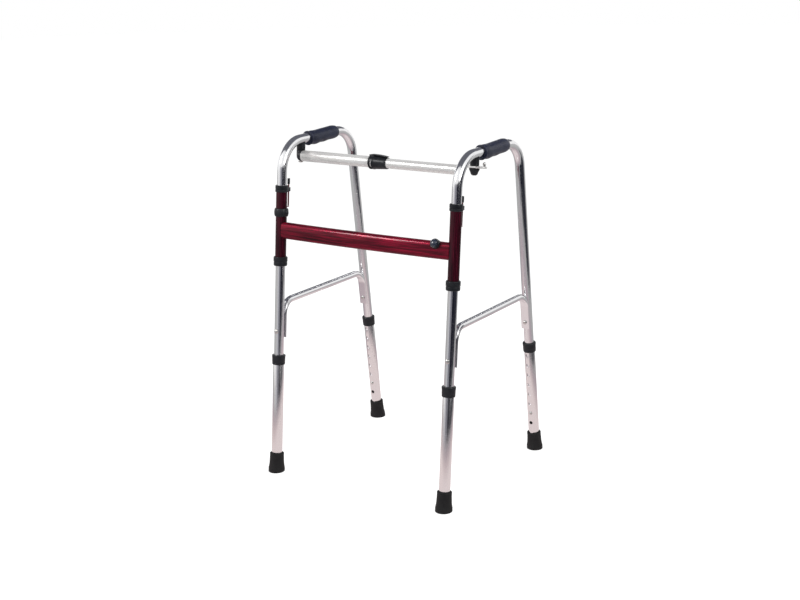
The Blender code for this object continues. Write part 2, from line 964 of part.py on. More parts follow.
def add_sleeve_collars(side):
    name = side_names[side]
    frame = front_leg_frame(side)
    top = sleeve_top + clearance
    top_profile = collar_profile(
        top, top + collar_lip, top + collar_lip - top_collar_height, collar_wall
    )
    upper = turned(name + "_sleeve_top_collar", top_profile, frame, black_plastic)
    reach = ear_reach - outer_radius - clearance
    core = rod(
        name + " ear root", (0, 0, sleeve_bottom), (0, 0, handle_height),
        outer_radius + clearance + collar_wall / 2, frame, None, fitting_sides,
    )
    for hand in (-1, 1):
        ear = block(
            f"{name} collar ear {hand}",
            (ear_width, reach, ear_height),
            (
                hand * (lever_width / 2 + clearance + ear_width / 2),
                ear_reach - reach / 2,
                latch_pin_height,
            ),
            frame,
        )
        join(upper, cut(ear, core))
    cut(upper, latch_hole(side, "collar"))
    bottom = sleeve_bottom - clearance
    low_profile = collar_profile(
        bottom, bottom - collar_lip, bottom - collar_lip + bottom_collar_height, bottom_collar_wall
    )
    turned(name + "_sleeve_bottom_collar", list(reversed(low_profile)), frame, black_plastic)


def add_lock_lever(side):
    # A leaf lever on a small bracket, with a black finger tip and a latch pin
    name = side_names[side]
    frame = front_leg_frame(side)
    reach = lever_back + lever_thickness
    bracket = block(
        name + "_lever_bracket",
        (lever_width, reach - tube_radius, bracket_thickness),
        (0, (reach + tube_radius) / 2, lever_bottom - clearance - bracket_thickness / 2),
        frame,
        red_lacquer,
    )
    seat = rod(
        name + " bracket seat", (0, 0, sleeve_bottom), (0, 0, sleeve_top),
        outer_radius + clearance, frame, None, tube_sides,
    )
    cut(bracket, seat)
    strip_top = sleeve_top + clearance + collar_lip
    strip = block(
        name + "_lever_strip",
        (lever_width, lever_thickness, strip_top - lever_bottom),
        (0, 0, (strip_top - lever_bottom) / 2),
        frame @ Matrix.Translation((0, lever_back, lever_bottom)),
        red_lacquer,
    )
    pin = rod(
        name + " latch pin",
        (0, tube_radius + 2 * clearance, latch_pin_height),
        (0, lever_back, latch_pin_height),
        latch_pin_diameter / 2,
        frame,
    )
    join(strip, pin)
    block(
        name + "_lever_tip",
        (lever_tip_width, lever_tip_depth, lever_tip_height),
        (0, 0, strip_top + clearance + lever_tip_height / 2 - lever_bottom),
        frame @ Matrix.Translation((0, lever_back, lever_bottom)),
        black_plastic,
        edge=soft_edge,
    )


def add_lock_ring():
    # A barrel ring with two finger lobes that turns on the right sleeve
    frame = front_leg_frame(-1)
    inner = outer_radius + clearance
    outer = inner + ring_wall
    top = ring_middle + ring_height / 2
    bottom = ring_middle - ring_height / 2
    profile = [
        (outer - ring_round, top),
        (outer - fine_edge, top - ring_round),
        (outer, ring_middle),
        (outer - fine_edge, bottom + ring_round),
        (outer - ring_round, bottom),
        (inner, bottom),
        (inner, top),
    ]
    ring = turned("lock_ring", profile, frame, black_plastic)
    core = rod(
        "lobe root",
        (0, 0, bottom - cutter_margin),
        (0, 0, top + cutter_margin),
        inner + ring_wall / 2,
        frame,
        None,
        fitting_sides,
    )
    for hand in (-1, 1):
        bm = bmesh.new()
        bmesh.ops.create_uvsphere(bm, u_segments=8, v_segments=6, radius=1.0)
        lobe = (ring_lobe_size, ring_lobe_size, ring_height / 2 - ring_round / 2)
        bmesh.ops.scale(bm, vec=lobe, verts=bm.verts)
        place = hand * (outer + ring_lobe_reach - ring_lobe_size)
        bmesh.ops.translate(bm, vec=(place, 0, ring_middle), verts=bm.verts)
        finger = add_object(f"ring lobe {hand}", mesh_from(bm, "ring lobe"), frame, None)
        join(ring, cut(finger, core))


# Telescopic bar

def add_bar_outer():
    frame = bar_frame()
    along = frame @ Matrix.Rotation(math.pi / 2, 4, "Y")
    profile = pipe_profile(outer_radius, outer_bore_radius, bar_outer_start, bar_outer_end)
    tube = turned("bar_outer_tube", profile, along, aluminium, tube_sides)
    # The end fitting: a spigot in the tube, a domed end and a boss up to the washer, which
    # stands in a round notch of the tube's end
    far = 2 * outer_radius
    boss_radius = bush_diameter / 2
    notch = boss_radius + clearance
    cut(tube, rod("boss notch", (0, 0, 0), (0, 0, far), notch, frame, None, fitting_sides))
    bolt_hole = bolt_diameter / 2 + bolt_play
    rim = bar_outer_start - clearance
    profile = [
        (0, bar_outer_start + bar_plug_depth),
        (outer_bore_radius - clearance, bar_outer_start + bar_plug_depth),
        (outer_bore_radius - clearance, rim),
        (outer_radius, rim),
    ]
    dome_steps = 4
    for step in range(dome_steps + 1):
        angle = math.pi / 2 * step / dome_steps
        place = bar_plug_dome * (1 - math.sin(angle)) - bar_plug_reach
        profile.append((outer_radius * math.cos(angle), place))
    profile[-1] = (0, -bar_plug_reach)
    plug = turned("bar_end_plug", profile, along, black_plastic, tube_sides)
    boss_top = (0, 0, outer_radius)
    join(plug, rod("bar end boss", (0, 0, 0), boss_top, boss_radius, frame, None, fitting_sides))
    cut(plug, rod("bar pivot hole", (0, 0, -far), (0, 0, far), bolt_hole, frame))
    low = outer_radius + clearance
    washer = pipe_profile(bush_diameter / 2, bolt_hole, low, low + washer_thickness)
    turned("bar_washer", washer, frame, black_plastic)


def clamp_pivot():
    return Vector((clamp_start + clamp_pin_from_start, 0, clamp_pin_height))


def add_clamp():
    frame = bar_frame()
    along = frame @ Matrix.Rotation(math.pi / 2, 4, "Y")
    ring_end = clamp_start + clamp_ring_length
    end = clamp_start + clamp_length
    ring = clamp_ring_diameter / 2
    seat = bar_outer_end + clearance
    nose = clamp_nose_diameter / 2
    profile = [
        (nose - soft_edge, end),
        (nose, end - soft_edge),
        (clamp_shoulder_diameter / 2, ring_end + fine_edge),
        (ring - fine_edge, ring_end),
        (ring, ring_end - fine_edge),
        (ring, clamp_start + fine_edge),
        (ring - fine_edge, clamp_start),
        (outer_radius + clearance, clamp_start),
        (outer_radius + clearance, seat),
        (tube_radius + clearance, seat),
        (tube_radius + clearance, end),
    ]
    clamp = turned("bar_clamp", profile, along, black_plastic)
    pivot = clamp_pivot()
    ring_middle_at = clamp_start + clamp_ring_length / 2
    slot = lever_arm_width + 2 * clearance
    # The pocket is open down to the tube, so the cam can press on it
    pocket_floor = math.sqrt((outer_radius + clearance) ** 2 - (slot / 2) ** 2) - fine_edge
    pocket = block(
        "clamp pocket",
        (clamp_ring_length + 2 * soft_edge, slot, clamp_ring_diameter / 2),
        (ring_middle_at, 0, pocket_floor + clamp_ring_diameter / 4),
        frame,
    )
    ear_top = pivot.z + clamp_ear_above_pin
    ear_foot = outer_radius - fine_edge
    ears = block(
        "clamp ears",
        (clamp_ring_length - soft_edge, slot + 2 * clamp_ear_wall, ear_top - ear_foot),
        (ring_middle_at, 0, (ear_top + ear_foot) / 2),
        frame,
    )
    far = Vector((0, lever_arm_width, 0))
    drill = clamp_pin_diameter / 2 + clearance
    pin_hole = rod("clamp pin hole", pivot - far, pivot + far, drill, frame)
    window = block(
        "clamp window",
        (clamp_window_length, clamp_ring_diameter, ring + clamp_window_top + cutter_margin),
        (
            clamp_start + clamp_window_from_start + clamp_window_length / 2,
            0,
            (clamp_window_top - ring - cutter_margin) / 2,
        ),
        frame,
    )
    join(clamp, ears)
    cut(clamp, pocket, pin_hole, window)


def lever_outline():
    # Side view of the cam lever round its pin: x along the bar, z up
    points = []
    cam_steps = 8
    for step in range(cam_steps + 1):
        angle = math.radians(90 + 200 * step / cam_steps)
        points.append((cam_radius * math.cos(angle), cam_radius * math.sin(angle)))
    reach = lever_arm_length
    thick = lever_arm_thickness
    ring_end = clamp_ring_length - clamp_pin_from_start
    shoulder = clamp_shoulder_diameter / 2 - clamp_pin_height + lever_arm_gap
    nose = clamp_nose_diameter / 2 - clamp_pin_height + lever_arm_gap
    points += [
        (ring_end + 2 * soft_edge, shoulder),
        (reach - soft_edge, nose),
        (reach, nose + thick * 0.25),
        (reach - soft_edge, nose + thick * 0.5),
        (reach * 0.55, (shoulder + nose) / 2 + thick * 0.95),
        (ring_end + 3 * soft_edge, cam_radius * 0.95),
    ]
    return points


def add_clamp_lever():
    frame = bar_frame() @ Matrix.Translation(clamp_pivot())
    half = lever_arm_width / 2
    # The two side faces are drawn in a little, which rounds the long edges
    sections = [(-half, 0.94), (fine_edge - half, 1.0), (half - fine_edge, 1.0), (half, 0.94)]
    rings = []
    for across, squeeze in sections:
        rings.append([(x * squeeze, across, z * squeeze) for x, z in lever_outline()])
    lever = loft("clamp_lever", rings, frame, black_plastic)
    pin = clamp_pin_diameter / 2
    far = lever_arm_width
    cut(lever, rod("lever pin hole", (0, -far, 0), (0, far, 0), pin + clearance, frame))
    reach = half + clearance + clamp_ear_wall
    rod("clamp_pin", (0, -reach, 0), (0, reach, 0), pin, frame, steel)


def add_bar_inner():
    # The inner tube; its left end is pressed to a flat plate for the left pivot
    frame = bar_frame()
    start = bar_outer_end - bar_overlap
    pivot = hinge_spacing
    flat_start = pivot - plate_root
    round_end = flat_start - plate_taper
    half_plate = plate_width / 2
    half_thick = plate_thickness / 2
    rings = []

    def section(place, width, thick, lift, squareness):
        shape = oval(width, thick, tube_sides, squareness)
        rings.append([(place, a, lift + b) for a, b in shape])

    section(start, tube_radius, tube_radius, 0, 2.0)
    for step in range(bend_steps + 1):
        share = ease(step / bend_steps)
        section(
            round_end + plate_taper * step / bend_steps,
            tube_radius + (half_plate - tube_radius) * share,
            tube_radius + (half_thick - tube_radius) * share,
            plate_lift * share,
            2.0 + (plate_squareness - 2.0) * share,
        )
    # The plate's rounded end
    reach = pivot + plate_reach
    for step in range(1, bend_steps):
        angle = math.pi / 2 * step / bend_steps
        section(
            reach - half_plate * (1 - math.sin(angle)),
            half_plate * math.cos(angle),
            half_thick,
            plate_lift,
            plate_squareness,
        )
    tube = loft("bar_inner_tube", rings, frame, aluminium)
    bore = rod(
        "bar inner bore",
        (start - cutter_margin, 0, 0),
        (round_end - plate_thickness, 0, 0),
        bore_radius,
        frame,
        None,
        bore_sides,
    )
    bolt_hole = bolt_diameter / 2 + bolt_play
    hole = rod("plate hole", (pivot, 0, 0), (pivot, 0, plate_reach), bolt_hole, frame)
    cut(tube, bore, hole)


def add_bar_fittings():
    # The black knob under the plate and the small domed stud on the plate's end
    frame = bar_frame() @ Matrix.Translation((hinge_spacing, 0, 0))
    shank = bolt_diameter / 2
    plate_top = plate_lift + plate_thickness / 2
    seat = plate_lift - plate_thickness / 2 - clearance
    wide = bar_knob_diameter / 2
    profile = [
        (0, plate_top),
        (shank, plate_top),
        (shank, seat),
        (wide - soft_edge, seat),
        (wide, seat - soft_edge),
        (wide, seat - bar_knob_height * 0.22),
        (wide * 0.80, seat - bar_knob_height * 0.50),
        (wide * 0.62, seat - bar_knob_height * 0.86),
        (wide * 0.45, seat - bar_knob_height),
        (0, seat - bar_knob_height),
    ]
    turned("bar_knob", profile, frame, black_plastic)
    low = plate_top + clearance
    stud = bar_stud_diameter / 2
    top = low + bar_stud_height
    profile = [
        (0, top),
        (stud * 0.55, top - stud * 0.12),
        (stud * 0.90, top - stud * 0.45),
        (stud, top - stud * 0.90),
        (stud, low + bar_stud_neck + fine_edge),
        (stud * 0.75, low + bar_stud_neck),
        (stud * 0.75, low),
        (0, low),
    ]
    place = frame @ Matrix.Translation((bar_stud_reach, 0, 0))
    turned("bar_end_stud", profile, place, steel, bolt_sides)


def build():
    clear_scene()
    # Everything under the floor is cut from the feet
    wide = 2 * (hinge_spacing + foot_depth)
    deep = 2 * foot_height
    floor = block("floor", (wide, wide, deep), (0, 0, -deep / 2), Matrix())
    add_crossbar()
    add_push_knob()
    add_lock_ring()
    for side in (-1, 1):
        add_sleeve(side)
        add_sleeve_collars(side)
        add_lock_lever(side)
        add_side_tube(side)
        add_handgrip(side)
        add_brace(side)
        add_brace_rivets(side)
        add_clip_springs(side)
        add_bar_bush(side)
        add_pivot_bolt(side)
        for name, frame, inward in legs_of(side):
            add_lower_leg(name, frame, inward)
            add_leg_collar(name, frame)
            add_foot(name, frame, floor)
            add_button(name, frame, inward)
    add_bar_outer()
    add_clamp()
    add_clamp_lever()
    add_bar_inner()
    add_bar_fittings()


build()
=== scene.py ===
import bpy
import math
from mathutils import Matrix, Vector


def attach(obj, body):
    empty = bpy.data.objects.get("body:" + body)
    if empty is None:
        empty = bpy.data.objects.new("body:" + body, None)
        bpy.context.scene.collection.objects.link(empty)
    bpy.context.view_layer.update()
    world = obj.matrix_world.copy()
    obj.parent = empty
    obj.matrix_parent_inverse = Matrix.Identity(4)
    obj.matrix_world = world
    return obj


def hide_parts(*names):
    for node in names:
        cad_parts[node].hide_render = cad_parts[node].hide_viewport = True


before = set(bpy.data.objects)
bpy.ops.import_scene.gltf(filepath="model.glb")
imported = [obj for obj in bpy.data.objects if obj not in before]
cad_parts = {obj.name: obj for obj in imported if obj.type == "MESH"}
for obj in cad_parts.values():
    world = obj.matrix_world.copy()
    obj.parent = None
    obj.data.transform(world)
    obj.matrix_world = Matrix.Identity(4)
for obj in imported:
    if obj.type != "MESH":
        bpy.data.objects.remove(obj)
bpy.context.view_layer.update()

# sizes of the walking frame in metres; only the steps of an edge, as notes say, are in millimetres
walker = {
    "hingeSpacing": 0.460, "footDepth": 0.434, "handleHeight": 0.768, "buttonHeight": 0.099,
    "frontLean": math.radians(5.5), "rearLean": math.radians(6.9), "frontBend": 0.070, "rearBend": 0.065,
    "frameTube": 0.0111,   # radius of the bent side tubes
    "outerTube": 0.0127,   # radius of the sleeves and the lower legs
    "outerBore": 0.0115,
    "gap": 0.0003,         # room between two pieces
    "pole": 0.0002,        # radius at which a turned piece closes on its axis
}
frameFit = walker["frameTube"] + walker["gap"]   # bores that clear the two tubes
outerFit = walker["outerTube"] + walker["gap"]
sideName = {-1: "right", 1: "left"}   # the user's right is at -X
ends = ("front", "rear")
materials = {}


# working by hand: selecting, edit mode, modifiers

def clearSelection():
    if bpy.context.mode != "OBJECT":
        bpy.ops.object.mode_set(mode="OBJECT")
    bpy.ops.object.select_all(action="DESELECT")


def pick(piece):
    clearSelection()
    piece.select_set(True)
    bpy.context.view_layer.objects.active = piece


def editAll(piece):
    pick(piece)
    bpy.ops.object.mode_set(mode="EDIT")
    bpy.ops.mesh.select_all(action="SELECT")


def leaveEdit():
    bpy.ops.object.mode_set(mode="OBJECT")


def named(name):
    # The piece that was just added, under its own name
    piece = bpy.context.active_object
    piece.name = piece.data.name = name
    return piece


def discard(*pieces):
    for piece in pieces:
        bpy.data.objects.remove(piece, do_unlink=True)


def faceOutwards(piece):
    editAll(piece)
    bpy.ops.mesh.normals_make_consistent(inside=False)
    leaveEdit()
    return piece


def stackRings(name, rings, sides=72, closed=False):
    # A circle is extruded and scaled from ring to ring: (x radius, y radius, height, y shift)
    rings = [ring if len(ring) == 4 else (ring[0], ring[0], ring[1], 0.0) for ring in rings]
    clearSelection()
    bpy.ops.mesh.primitive_circle_add(vertices=sides, radius=1.0, location=(0, 0, 0))
    piece = named(name)
    editAll(piece)
    wide, deep, height, shift = rings[0]
    bpy.ops.transform.resize(value=(wide, deep, 1), center_override=(0, 0, 0))
    bpy.ops.transform.translate(value=(0, shift, height))
    steps = rings[1:] + (rings[:1] if closed else [])
    for nextWide, nextDeep, nextHeight, nextShift in steps:
        move = (0, nextShift - shift, nextHeight - height)
        bpy.ops.mesh.extrude_region_move(TRANSFORM_OT_translate={"value": move})
        bpy.ops.transform.resize(
            value=(nextWide / wide, nextDeep / deep, 1), center_override=(0, nextShift, nextHeight)
        )
        wide, deep, height, shift = nextWide, nextDeep, nextHeight, nextShift
    bpy.ops.mesh.select_all(action="SELECT")
    if closed:
        bpy.ops.mesh.remove_doubles(threshold=0.00001)
    else:
        bpy.ops.mesh.fill_holes(sides=0)
    return faceOutwards(piece)


def edgeRings(radius, height, steps):
    # Rings beside one radius and height: (out, up) in millimetres
    return [(radius + out / 1000, height + up / 1000) for out, up in steps]


def shareRings(radius, height, rise, steps):
    # Rings at shares of a radius and of a rise above one height
    return [(radius * wide, height + rise * up) for wide, up in steps]


def openTube(name, low, high):
    # A length of the 25.4 mm tube, open at both ends
    outer, inner = walker["outerTube"], walker["outerBore"]
    return stackRings(name, [(outer, low), (outer, high), (inner, high), (inner, low)], closed=True)


def cylinder(name, radius, start, end, sides=32):
    # A plain round bar between two points
    start, end = Vector(start), Vector(end)
    clearSelection()
    bpy.ops.mesh.primitive_cylinder_add(
        vertices=sides, radius=radius, depth=(end - start).length, location=(0, 0, 0)
    )
    turn = Vector((0, 0, 1)).rotation_difference(end - start).to_matrix().to_4x4()
    return placeAt(named(name), Matrix.Translation((start + end) / 2) @ turn)


def box(name, size, centre, edge=0.0, segments=2):
    clearSelection()
    bpy.ops.mesh.primitive_cube_add(size=1.0, location=(0, 0, 0))
    piece = named(name)
    editAll(piece)
    bpy.ops.transform.resize(value=size, center_override=(0, 0, 0))
    bpy.ops.transform.translate(value=centre)
    if edge:
        bpy.ops.mesh.bevel(offset=edge, segments=segments, affect="EDGES")
    leaveEdit()
    return piece


def applied(piece, kind, **settings):
    pick(piece)
    modifier = piece.modifiers.new("work", kind)
    for key, value in settings.items():
        setattr(modifier, key, value)
    bpy.ops.object.modifier_apply(modifier=modifier.name)
    return piece


def combined(piece, operation, others):
    for other in others:
        applied(piece, "BOOLEAN", operation=operation, solver="EXACT", object=other)
        discard(other)
    return piece


def cutAway(piece, *cutters):
    return combined(piece, "DIFFERENCE", cutters)


def weldOn(piece, *others):
    return combined(piece, "UNION", others)


def softenEdges(piece, width, angle=40, segments=2):
    return applied(
        piece, "BEVEL", width=width, segments=segments, limit_method="ANGLE",
        angle_limit=math.radians(angle), harden_normals=False, use_clamp_overlap=True,
    )


def smooth(piece, angle=40):
    pick(piece)
    bpy.ops.object.shade_smooth_by_angle(angle=math.radians(angle))
    return piece


def placeAt(piece, matrix):
    pick(piece)
    piece.matrix_world = matrix
    bpy.ops.object.transform_apply(location=True, rotation=True, scale=True)
    return piece


def copyOf(piece, name):
    pick(piece)
    bpy.ops.object.duplicate()
    return named(name)


def keepGrain(piece):
    # The straight, upright shape is kept as an attribute, so patterns follow each piece
    grain = piece.data.attributes.new("grain", "FLOAT_VECTOR", "POINT")
    for vertex in piece.data.vertices:
        grain.data[vertex.index].vector = vertex.co
    return piece


def grained(piece, angle=40):
    # Once a piece is shaped in its upright place, its grain is kept and it is shaded smooth
    return smooth(keepGrain(piece), angle)


def finishPiece(piece, finish, body, node):
    piece.data.materials.clear()
    piece.data.materials.append(materials[finish])
    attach(piece, body)
    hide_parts(node)


# small measures that several pieces share

def blend(first, last, share):
    return first + (last - first) * share


def eased(share):
    share = min(max(share, 0.0), 1.0)
    return share * share * (3 - 2 * share)


def turns(first, last, steps):
    # Angles in equal steps, given in degrees
    return [math.radians(blend(first, last, step / steps)) for step in range(steps + 1)]


# places: up each leg, and copies for both sides

def hingeAt(side):
    return side * walker["hingeSpacing"] / 2


def acrossPlace(side):
    return Matrix.Translation((hingeAt(side), 0, 0))


def frontPlace():
    lean = Matrix.Rotation(-walker["frontLean"], 4, "X")
    return Matrix.Translation((0, -walker["footDepth"] / 2, 0)) @ lean


def legPlace(side, end="front"):
    if end == "front":
        return acrossPlace(side) @ frontPlace()
    lean = Matrix.Rotation(walker["rearLean"], 4, "X")
    return acrossPlace(side) @ Matrix.Translation((0, walker["footDepth"] / 2, 0)) @ lean


def facingPlace(side, end):
    # The same, turned so that +Y looks at the other leg
    if end == "front":
        return legPlace(side, end)
    return legPlace(side, end) @ Matrix.Rotation(math.pi, 4, "Z")


def pieceName(node):
    # left_side_tube becomes leftSideTube
    first, *others = node.split("_")
    return first + "".join(word.title() for word in others)


def placeBothSides(stock, part, finish, body, place=legPlace):
    # A copy for each side; {} in the body's name stands for the side
    for side, name in sideName.items():
        node = f"{name}_{part}"
        piece = placeAt(copyOf(stock, pieceName(node)), place(side))
        finishPiece(piece, finish, body.format(name), node)
    discard(stock)


def bendBothSides(stock, part, runs, angle):
    for side, name in sideName.items():
        node = f"{name}_{part}"
        piece = bendAlong(copyOf(stock, pieceName(node)), runs, hingeAt(side))
        finishPiece(smooth(piece, angle), "frameAluminium", name + "_side", node)
    discard(stock)


# the bent tubes' path in the plane of a side frame: straights and arcs

def cornerAt(end, inset, height):
    place = legPlace(1, end)
    foot = place @ Vector((0, inset, 0))
    up = place.to_3x3() @ Vector((0, 0, 1))
    return (foot + up * ((height - foot.z) / up.z)).yz


def frameCorners(inset, low, height):
    # From low on the front leg up to a height, across and down the rear leg, inset from both
    front = legPlace(1, "front") @ Vector((0, inset, low))
    rear = legPlace(1, "rear") @ Vector((0, -inset, low))
    return [front.yz, cornerAt("front", inset, height), cornerAt("rear", -inset, height), rear.yz]


def pathAlong(corners, radii):
    runs = []
    here = corners[0]
    for before, corner, after, radius in zip(corners, corners[1:], corners[2:], radii):
        towards = (before - corner).normalized()
        away = (after - corner).normalized()
        half = towards.angle(away) / 2
        reach = radius / math.tan(half)
        start = corner + towards * reach
        runs.append(("straight", here, (start - here).normalized(), (start - here).length))
        centre = corner + (towards + away).normalized() * (radius / math.sin(half))
        sweep = math.pi - 2 * half
        turn = 1 if (start - here).x * away.y - (start - here).y * away.x > 0 else -1
        runs.append(("bend", centre, start - centre, radius * sweep, turn / radius))
        here = corner + away * reach
    last = corners[-1]
    runs.append(("straight", here, (last - here).normalized(), (last - here).length))
    return runs


def pathPoint(runs, distance):
    # The point at a distance along the path, and the heading there
    for run in runs[:-1]:
        if distance <= run[3]:
            break
        distance -= run[3]
    else:
        run = runs[-1]
    kind, origin, arm = run[:3]
    if kind == "straight":
        return origin + arm * distance, arm
    angle = distance * run[4]
    c, s = math.cos(angle), math.sin(angle)
    spoke = Vector((arm.x * c - arm.y * s, arm.x * s + arm.y * c))
    return origin + spoke, Vector((-spoke.y, spoke.x)).normalized() * math.copysign(1, run[4])


def bendAlong(piece, runs, across):
    # Lays an upright piece along the path; its height becomes the distance
    for vertex in piece.data.vertices:
        x, y, z = vertex.co
        point, heading = pathPoint(runs, z)
        spot = point + Vector((-heading.y, heading.x)) * y
        vertex.co = (across + x, spot.x, spot.y)
    piece.data.update()
    return faceOutwards(piece)


def stations(runs, straightStep, bendStep):
    # Distances for rings: wide apart on straights and close in the bends
    marks = [0.0]
    start = 0.0
    for run in runs:
        step = straightStep if run[0] == "straight" else bendStep
        count = max(1, round(run[3] / step))
        marks += [start + run[3] * (i + 1) / count for i in range(count)]
        start += run[3]
    return marks


def squareSection(piece, halfSizes, squareness, lift=lambda mark: 0.0):
    # Fills out the corners of an oval section; all three may change along the piece
    for vertex in piece.data.vertices:
        x, y, z = vertex.co
        wide, deep = halfSizes(z)
        middle = lift(z)
        power = 2.0 / squareness(z)
        angle = math.atan2((y - middle) / deep, x / wide)
        c, s = math.cos(angle), math.sin(angle)
        vertex.co.x = math.copysign(abs(c) ** power, c) * wide
        vertex.co.y = middle + math.copysign(abs(s) ** power, s) * deep
    piece.data.update()
    return piece


# materials

tubeFinish = {
    # base colour, roughness where clean and where smudged, how metallic it looks
    "frameAluminium": ((0.84, 0.845, 0.86), (0.07, 0.16), 1.0),
    "legAluminium": ((0.84, 0.835, 0.84), (0.13, 0.24), 1.0),
    "barAluminium": ((0.69, 0.69, 0.68), (0.20, 0.30), 0.42),
}
tubeWear = {
    "warmth": (1.0, 0.975, 0.965), "lineRoughness": 0.07, "scratchTone": 0.55, "scratchRoughness": 0.24,
}
lacquerFinish = {
    # tint of the reds, how metallic it looks, weight of the clear coat
    "redLacquer": ((1.45, 0.50, 0.85), 0.5, 0.30),
    "darkLacquer": ((0.42, 0.46, 0.48), 0.0, 0.35),
}
lacquerReds = (
    (0.30, (0.018, 0.002, 0.005)), (0.46, (0.070, 0.005, 0.015)),
    (0.60, (0.170, 0.009, 0.030)), (0.78, (0.280, 0.015, 0.048)),
)
mouldedFinish = {
    # deep and dusty tone, least and most roughness, pits to the metre and their strength, clear coat
    "blackPlastic": ((0.006, 0.007, 0.009), (0.018, 0.019, 0.023), (0.26, 0.40), 700, 0.10, 0.0),
    "footRubber": ((0.004, 0.004, 0.005), (0.014, 0.014, 0.014), (0.52, 0.74), 420, 0.30, 0.0),
    "knobPlastic": ((0.012, 0.018, 0.032), (0.026, 0.036, 0.058), (0.14, 0.24), 500, 0.05, 0.6),
}
gripFinish = {"deep": (0.007, 0.009, 0.021), "dusty": (0.021, 0.025, 0.052), "rough": (0.26, 0.42)}
steelFinish = {
    # darker and lighter tone, least and most roughness
    "steel": ((0.52, 0.50, 0.46), (0.72, 0.72, 0.72), (0.24, 0.40)),
    "springSteel": ((0.30, 0.31, 0.34), (0.50, 0.50, 0.51), (0.28, 0.46)),
}


def newMaterial(name, sockets):
    material = bpy.data.materials.new(name)
    material.use_nodes = True
    materials[name] = material
    shader = material.node_tree.nodes["Principled BSDF"]
    for socket, value in sockets.items():
        shader.inputs[socket].default_value = value
    return material.node_tree, shader


def grey(value):
    return (value, value, value, 1.0)


def node(tree, kind, **settings):
    made = tree.nodes.new(kind)
    for key, value in settings.items():
        if key in made.inputs:
            made.inputs[key].default_value = value
        else:
            setattr(made, key, value)
    return made


def feed(tree, sockets, sources):
    # Each socket takes another node's output or a plain value
    for socket, source in zip(sockets, sources):
        if isinstance(source, bpy.types.NodeSocket):
            tree.links.new(source, socket)
        else:
            socket.default_value = source


def ramp(tree, source, *stops):
    made = node(tree, "ShaderNodeValToRGB")
    tree.links.new(source, made.inputs["Fac"])
    points = made.color_ramp.elements
    while len(points) < len(stops):
        points.new(0.5)
    for point, (place, value) in zip(points, stops):
        point.position = place
        point.color = (*value[:3], 1.0)
    return made.outputs["Color"]


def greyRamp(tree, source, start, end, values):
    # Grey from the first value to the second, between two places
    return ramp(tree, source, (start, grey(values[0])), (end, grey(values[1])))


def grainPlace(tree, scale):
    # The upright place kept on each piece, stretched for a pattern; one number serves all three ways
    scale = scale if isinstance(scale, tuple) else (scale, scale, scale)
    source = node(tree, "ShaderNodeAttribute", attribute_name="grain")
    stretch = node(tree, "ShaderNodeMapping", vector_type="POINT", Scale=scale)
    tree.links.new(source.outputs["Vector"], stretch.inputs["Vector"])
    return stretch.outputs["Vector"]


def noise(tree, scale, detail=3.0, roughness=0.55, distortion=0.0):
    made = node(
        tree, "ShaderNodeTexNoise", Scale=1.0, Detail=detail, Roughness=roughness, Distortion=distortion
    )
    tree.links.new(grainPlace(tree, scale), made.inputs["Vector"])
    return made.outputs["Fac"]


def cellEdges(tree, scale, randomness):
    made = node(tree, "ShaderNodeTexVoronoi", feature="DISTANCE_TO_EDGE", Scale=1.0, Randomness=randomness)
    tree.links.new(grainPlace(tree, scale), made.inputs["Vector"])
    return made.outputs["Distance"]


def bump(tree, shader, height, strength, distance, before=None):
    made = node(tree, "ShaderNodeBump", Strength=strength, Distance=distance)
    tree.links.new(height, made.inputs["Height"])
    if before:
        tree.links.new(before.outputs["Normal"], made.inputs["Normal"])
    tree.links.new(made.outputs["Normal"], shader.inputs["Normal"])
    return made


def mixColours(tree, first, second, share, blendType="MIX"):
    made = node(tree, "ShaderNodeMix", data_type="RGBA", blend_type=blendType)
    feed(tree, (made.inputs[6], made.inputs[7], made.inputs[0]), (first, second, share))
    return made.outputs[2]


def dress(tree, shader, tone, rough):
    feed(tree, (shader.inputs["Base Color"], shader.inputs["Roughness"]), (tone, rough))


def makeWearGroup():
    # Fine lengthwise draw lines, short scratches and handling smudges of bright tube
    group = bpy.data.node_groups.new("tubeWear", "ShaderNodeTree")
    for name in ("Draw lines", "Scratches", "Smudges"):
        group.interface.new_socket(name, in_out="OUTPUT", socket_type="NodeSocketFloat")
    out = group.nodes.new("NodeGroupOutput")
    lines = noise(group, (900, 900, 9), detail=4.0)
    thin = greyRamp(group, cellEdges(group, (260, 260, 24), randomness=1.0), 0.0, 0.012, (1, 0))
    patches = greyRamp(group, noise(group, (34, 34, 11)), 0.56, 0.66, (0, 1))
    scratches = mixColours(group, grey(0), thin, patches)
    smudges = noise(group, (26, 26, 13), detail=5.0, roughness=0.62, distortion=0.6)
    feed(group, out.inputs, (lines, scratches, smudges))
    return group


def makeBrightTube(name, wear, base, rough, metallic):
    # Polished and clear-anodised aluminium tube
    tree, shader = newMaterial(name, {"Metallic": metallic, "IOR": 1.45})
    marks = node(tree, "ShaderNodeGroup", node_tree=wear).outputs
    smudge = greyRamp(tree, marks["Smudges"], 0.30, 0.72, rough)
    lines = greyRamp(tree, marks["Draw lines"], 0.30, 0.75, (0, tubeWear["lineRoughness"]))
    drawn = mixColours(tree, smudge, lines, share=1.0, blendType="ADD")
    scratched = mixColours(tree, drawn, grey(tubeWear["scratchRoughness"]), marks["Scratches"])
    warm = [part * share for part, share in zip(base, tubeWear["warmth"])]
    tint = ramp(tree, marks["Smudges"], (0.25, warm), (0.65, base))
    dulled = mixColours(tree, tint, grey(tubeWear["scratchTone"]), marks["Scratches"])
    dress(tree, shader, dulled, scratched)
    bump(tree, shader, marks["Draw lines"], strength=0.06, distance=0.00004)


